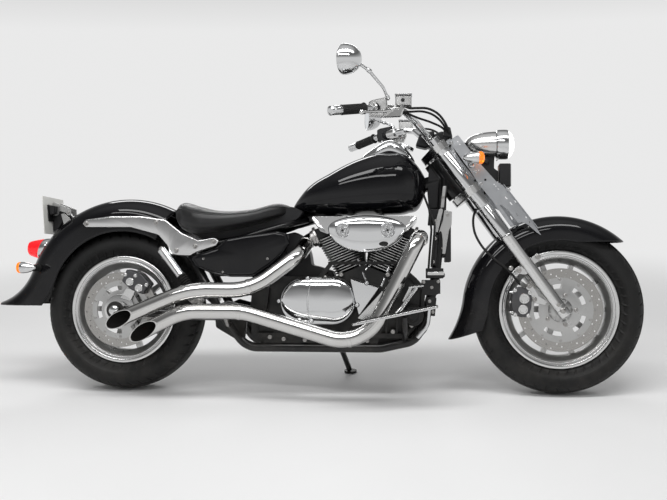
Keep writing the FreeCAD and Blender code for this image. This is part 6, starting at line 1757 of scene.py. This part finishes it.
clips = [machine_sheet([(372, 938), (372, 992), (400, 1004), (428, 996), (440, 950), (420, 934)],
                       -46, 46, 6, 12),
         machine_sheet([(300, 950), (318, 1000), (372, 1008), (380, 960), (340, 940)], -34, 34, 8, 14),
         machine_sheet([(404, 972), (408, 1014), (432, 1006), (440, 968)], -116, -96, 4, 8)]
shaped_piece("cable_clips_and_locks", clips, 34, black_plastic, "front_fork")


# Mirrors: chrome bowls on bent stems that screw into the perches, with silvered glass.

def make_mirror_glass():
    """Silvered glass: a nearly perfect mirror with a slight cool tint."""
    made, tree, bsdf, where = finish("mirror_glass", Metallic=1.0)
    marks = use_group(tree, wiping_marks, {"Where": where, "Size": 30.0, "Low": 0.02, "High": 0.06})
    tree.links.new(marks["Roughness"], bsdf.inputs["Roughness"])
    bsdf.inputs["Base Color"].default_value = (0.72, 0.75, 0.78, 1)
    return made


MIRRORS = [
    # stem, centre of the head, the way it faces
    ([(166.7, -302.6, 1066.1), (203, -302, 1085), (190, -338, 1112), (142, -392, 1162), (108, -410, 1184)],
     (74, -417, 1198), (-0.92, 0.38, 0.09)),
    ([(166.7, 302.6, 1066.1), (204, 300, 1080), (196, 348, 1096), (162, 394, 1116), (140, 408, 1126)],
     (106, 415, 1140), (-0.97, -0.24, 0)),
]
BOWL = [(-44, 0), (-43, 12), (-38, 26), (-28, 38), (-14, 47), (2, 52), (14, 54), (20, 54), (22, 53), (22, 51),
        (20.5, 50), (20.5, 0)]
FACE = [(20.7, 0), (20.7, 49.8), (21.2, 49.8), (21.2, 0)]
bowls, faces = [], []
for stem, centre, facing in MIRRORS:
    bowls.append(carried(bent(stem + [centre], [14, 26, 60, 30]), 5.5, 20))
    bowls.append(turned([(-10, 0), (-10, 8.5), (-8, 9.5), (8, 9.5), (10, 8.5), (10, 0)],
                        stem[0], (0, 0, 1), 24))
    bowls.append(turned(softened(np.array(BOWL, float), 1), centre, facing, 72))
    faces.append(turned(FACE, centre, facing, 72))
    for at in (1, 3):
        way = np.array(stem[at + 1] if at < 4 else centre) - np.array(stem[at])
        bowls.append(turned([(-9, 0), (-9, 6), (-6, 8), (6, 8), (9, 6), (9, 0)], stem[at], way, 24))
shaped_piece("mirror_bowls", bowls, 34, chrome, "front_fork", ["mirrors"])
shaped_piece("mirror_glasses", faces, 30, make_mirror_glass(), "front_fork")
dressed("handlebar", chrome)


# Speedometer: a dial in the console's top, inside a chrome bezel, and the cap of
# the filler behind it.

DIAL = np.array([262.0, 0.0, 948.0])
DIAL_UP = unit(np.array([0.34, 0.0, 0.94]))
bezel = [turned([(-6, 0), (-6, 33), (4, 33), (7, 31), (8, 28.5), (5.6, 27), (5.6, 0)], DIAL, DIAL_UP, 72),
         turned([(-10, 0), (-10, 27), (0, 27), (4, 25), (5, 20), (5, 0)], (192, 0, 968), (0.1, 0, 1), 64)]
shaped_piece("speedometer_bezel", bezel, 34, chrome, "chassis")
dial = [turned([(5.7, 0), (5.7, 26.8), (6.6, 26.2), (6.9, 20), (7, 0)], DIAL, DIAL_UP, 64)]
shaped_piece("speedometer_face", dial, 34, black_plastic, "chassis")


# Seat: one leather cushion, crowned across and dished for the rider, turned up at its tail, over
# a moulded base. The cover is sewn with a welt along its side; padded with dense foam.

SEAT = np.array([
    # x, half width, top, bottom, dish
    (-646.5, 80, 722, 668, 2),
    (-612, 130, 742, 630, 4),
    (-560, 160, 730, 612, 6),
    (-450, 165, 708, 618, 8),
    (-330, 140, 712, 640, 6),
    (-230, 105, 734, 668, 3),
    (-182, 78, 728, 684, 2),
], float)
SEAT_COLUMNS = 128
WELT_COLUMN = 7
WELT_ENDS = 6


def seat_skin(rows=150, columns=SEAT_COLUMNS):
    """Rings over X: an arched crown with a shallow hollow along its middle over a squarer base,
    pinched in at the welt and softly rippled near it as stretched leather is."""
    x, drawn = ended(rows, -650, -178, 12)
    inside = np.clip(x, -646.5, -182)
    half, top, low, dish = [eased(inside, SEAT[:, 0], SEAT[:, n])[:, None] for n in (1, 2, 3, 4)]
    turn = np.linspace(0, 2 * math.pi, columns, endpoint=False)[None, :]
    above = np.sin(turn) > 0
    side = power(np.cos(turn), np.where(above, 0.86, 0.6))
    middle = low + 0.42 * (top - low)
    rise = power(np.sin(turn), np.where(above, 0.72, 0.6))
    height = np.where(above, (top - middle) * rise, (middle - low) * rise)
    height = height - np.where(above, dish * (1 - side ** 2) ** 2, 0)
    welt = np.exp(-((side ** 2 - 0.97) / 0.05) ** 2) * above
    folds = np.sin(x[:, None] / 9.0) * np.sin(x[:, None] / 31.0) * np.exp(-((side ** 2 - 0.8) / 0.14) ** 2)
    pull = drawn[:, None] * (1 - 0.012 * welt)
    return np.stack([np.broadcast_to(x[:, None], height.shape), half * side * pull,
                     middle + height * drawn[:, None] + 0.7 * folds * above], axis=-1)


def make_leather():
    """Dyed black hide: fine pebbled grain, broad soft creases, glossier and duller in soft patches."""
    made, tree, bsdf, where = finish("seat_hide", Specular_IOR_Level=0.42, Sheen_Weight=0.06)
    fine = use_group(tree, grain, {"Where": where, "Size": 900.0, "Colour": (0.006, 0.006, 0.0065, 1),
                                   "Spread": 0.35})
    cloud = add(tree, "ShaderNodeTexNoise", {"Vector": where, "Scale": 14.0, "Detail": 3.0}).outputs["Fac"]
    rough = remap(tree, cloud, 0.35, 0.65, 0.33, 0.42)
    cells = add(tree, "ShaderNodeTexVoronoi", {"Vector": where, "Scale": 620.0},
                feature="DISTANCE_TO_EDGE").outputs["Distance"]
    pebbles = remap(tree, cells, 0.0, 0.22)
    height = calc(tree, "ADD", calc(tree, "MULTIPLY", pebbles, 0.2), calc(tree, "MULTIPLY", cloud, 0.5))
    tree.links.new(fine["Colour"], bsdf.inputs["Base Color"])
    tree.links.new(rough, bsdf.inputs["Roughness"])
    surface_bump(tree, bsdf, height, 0.0003)
    return made


# Moulded pan under the cushion, over the frame's rails.
PAN = [(-575, 618), (-520, 634), (-340, 668), (-230, 704), (-178, 716), (-128, 696), (-150, 668), (-290, 622),
       (-420, 596), (-520, 582)]
shaped_piece("seat_pan", [machine_sheet(PAN, -72, 72, 5, 14)], 34, black_plastic, "chassis")
seat_hide = make_leather()
cushion = seat_skin()
cover = shaped_piece("seat_cushion", [capped(cushion)], 60, seat_hide, "chassis", ["seat"])
welts = [cushion[WELT_ENDS:-WELT_ENDS, column] + np.array([0, 0.6 * math.copysign(1, math.cos(column)), 0])
         for column in (WELT_COLUMN, SEAT_COLUMNS // 2 - WELT_COLUMN)]
run = np.concatenate([welts[0], welts[1][::-1]])
welt = carried(softened(run, 2, closed=True), 2.3, 12)
shaped_piece("seat_welt", [looped(welt)], 60, seat_hide, "chassis")
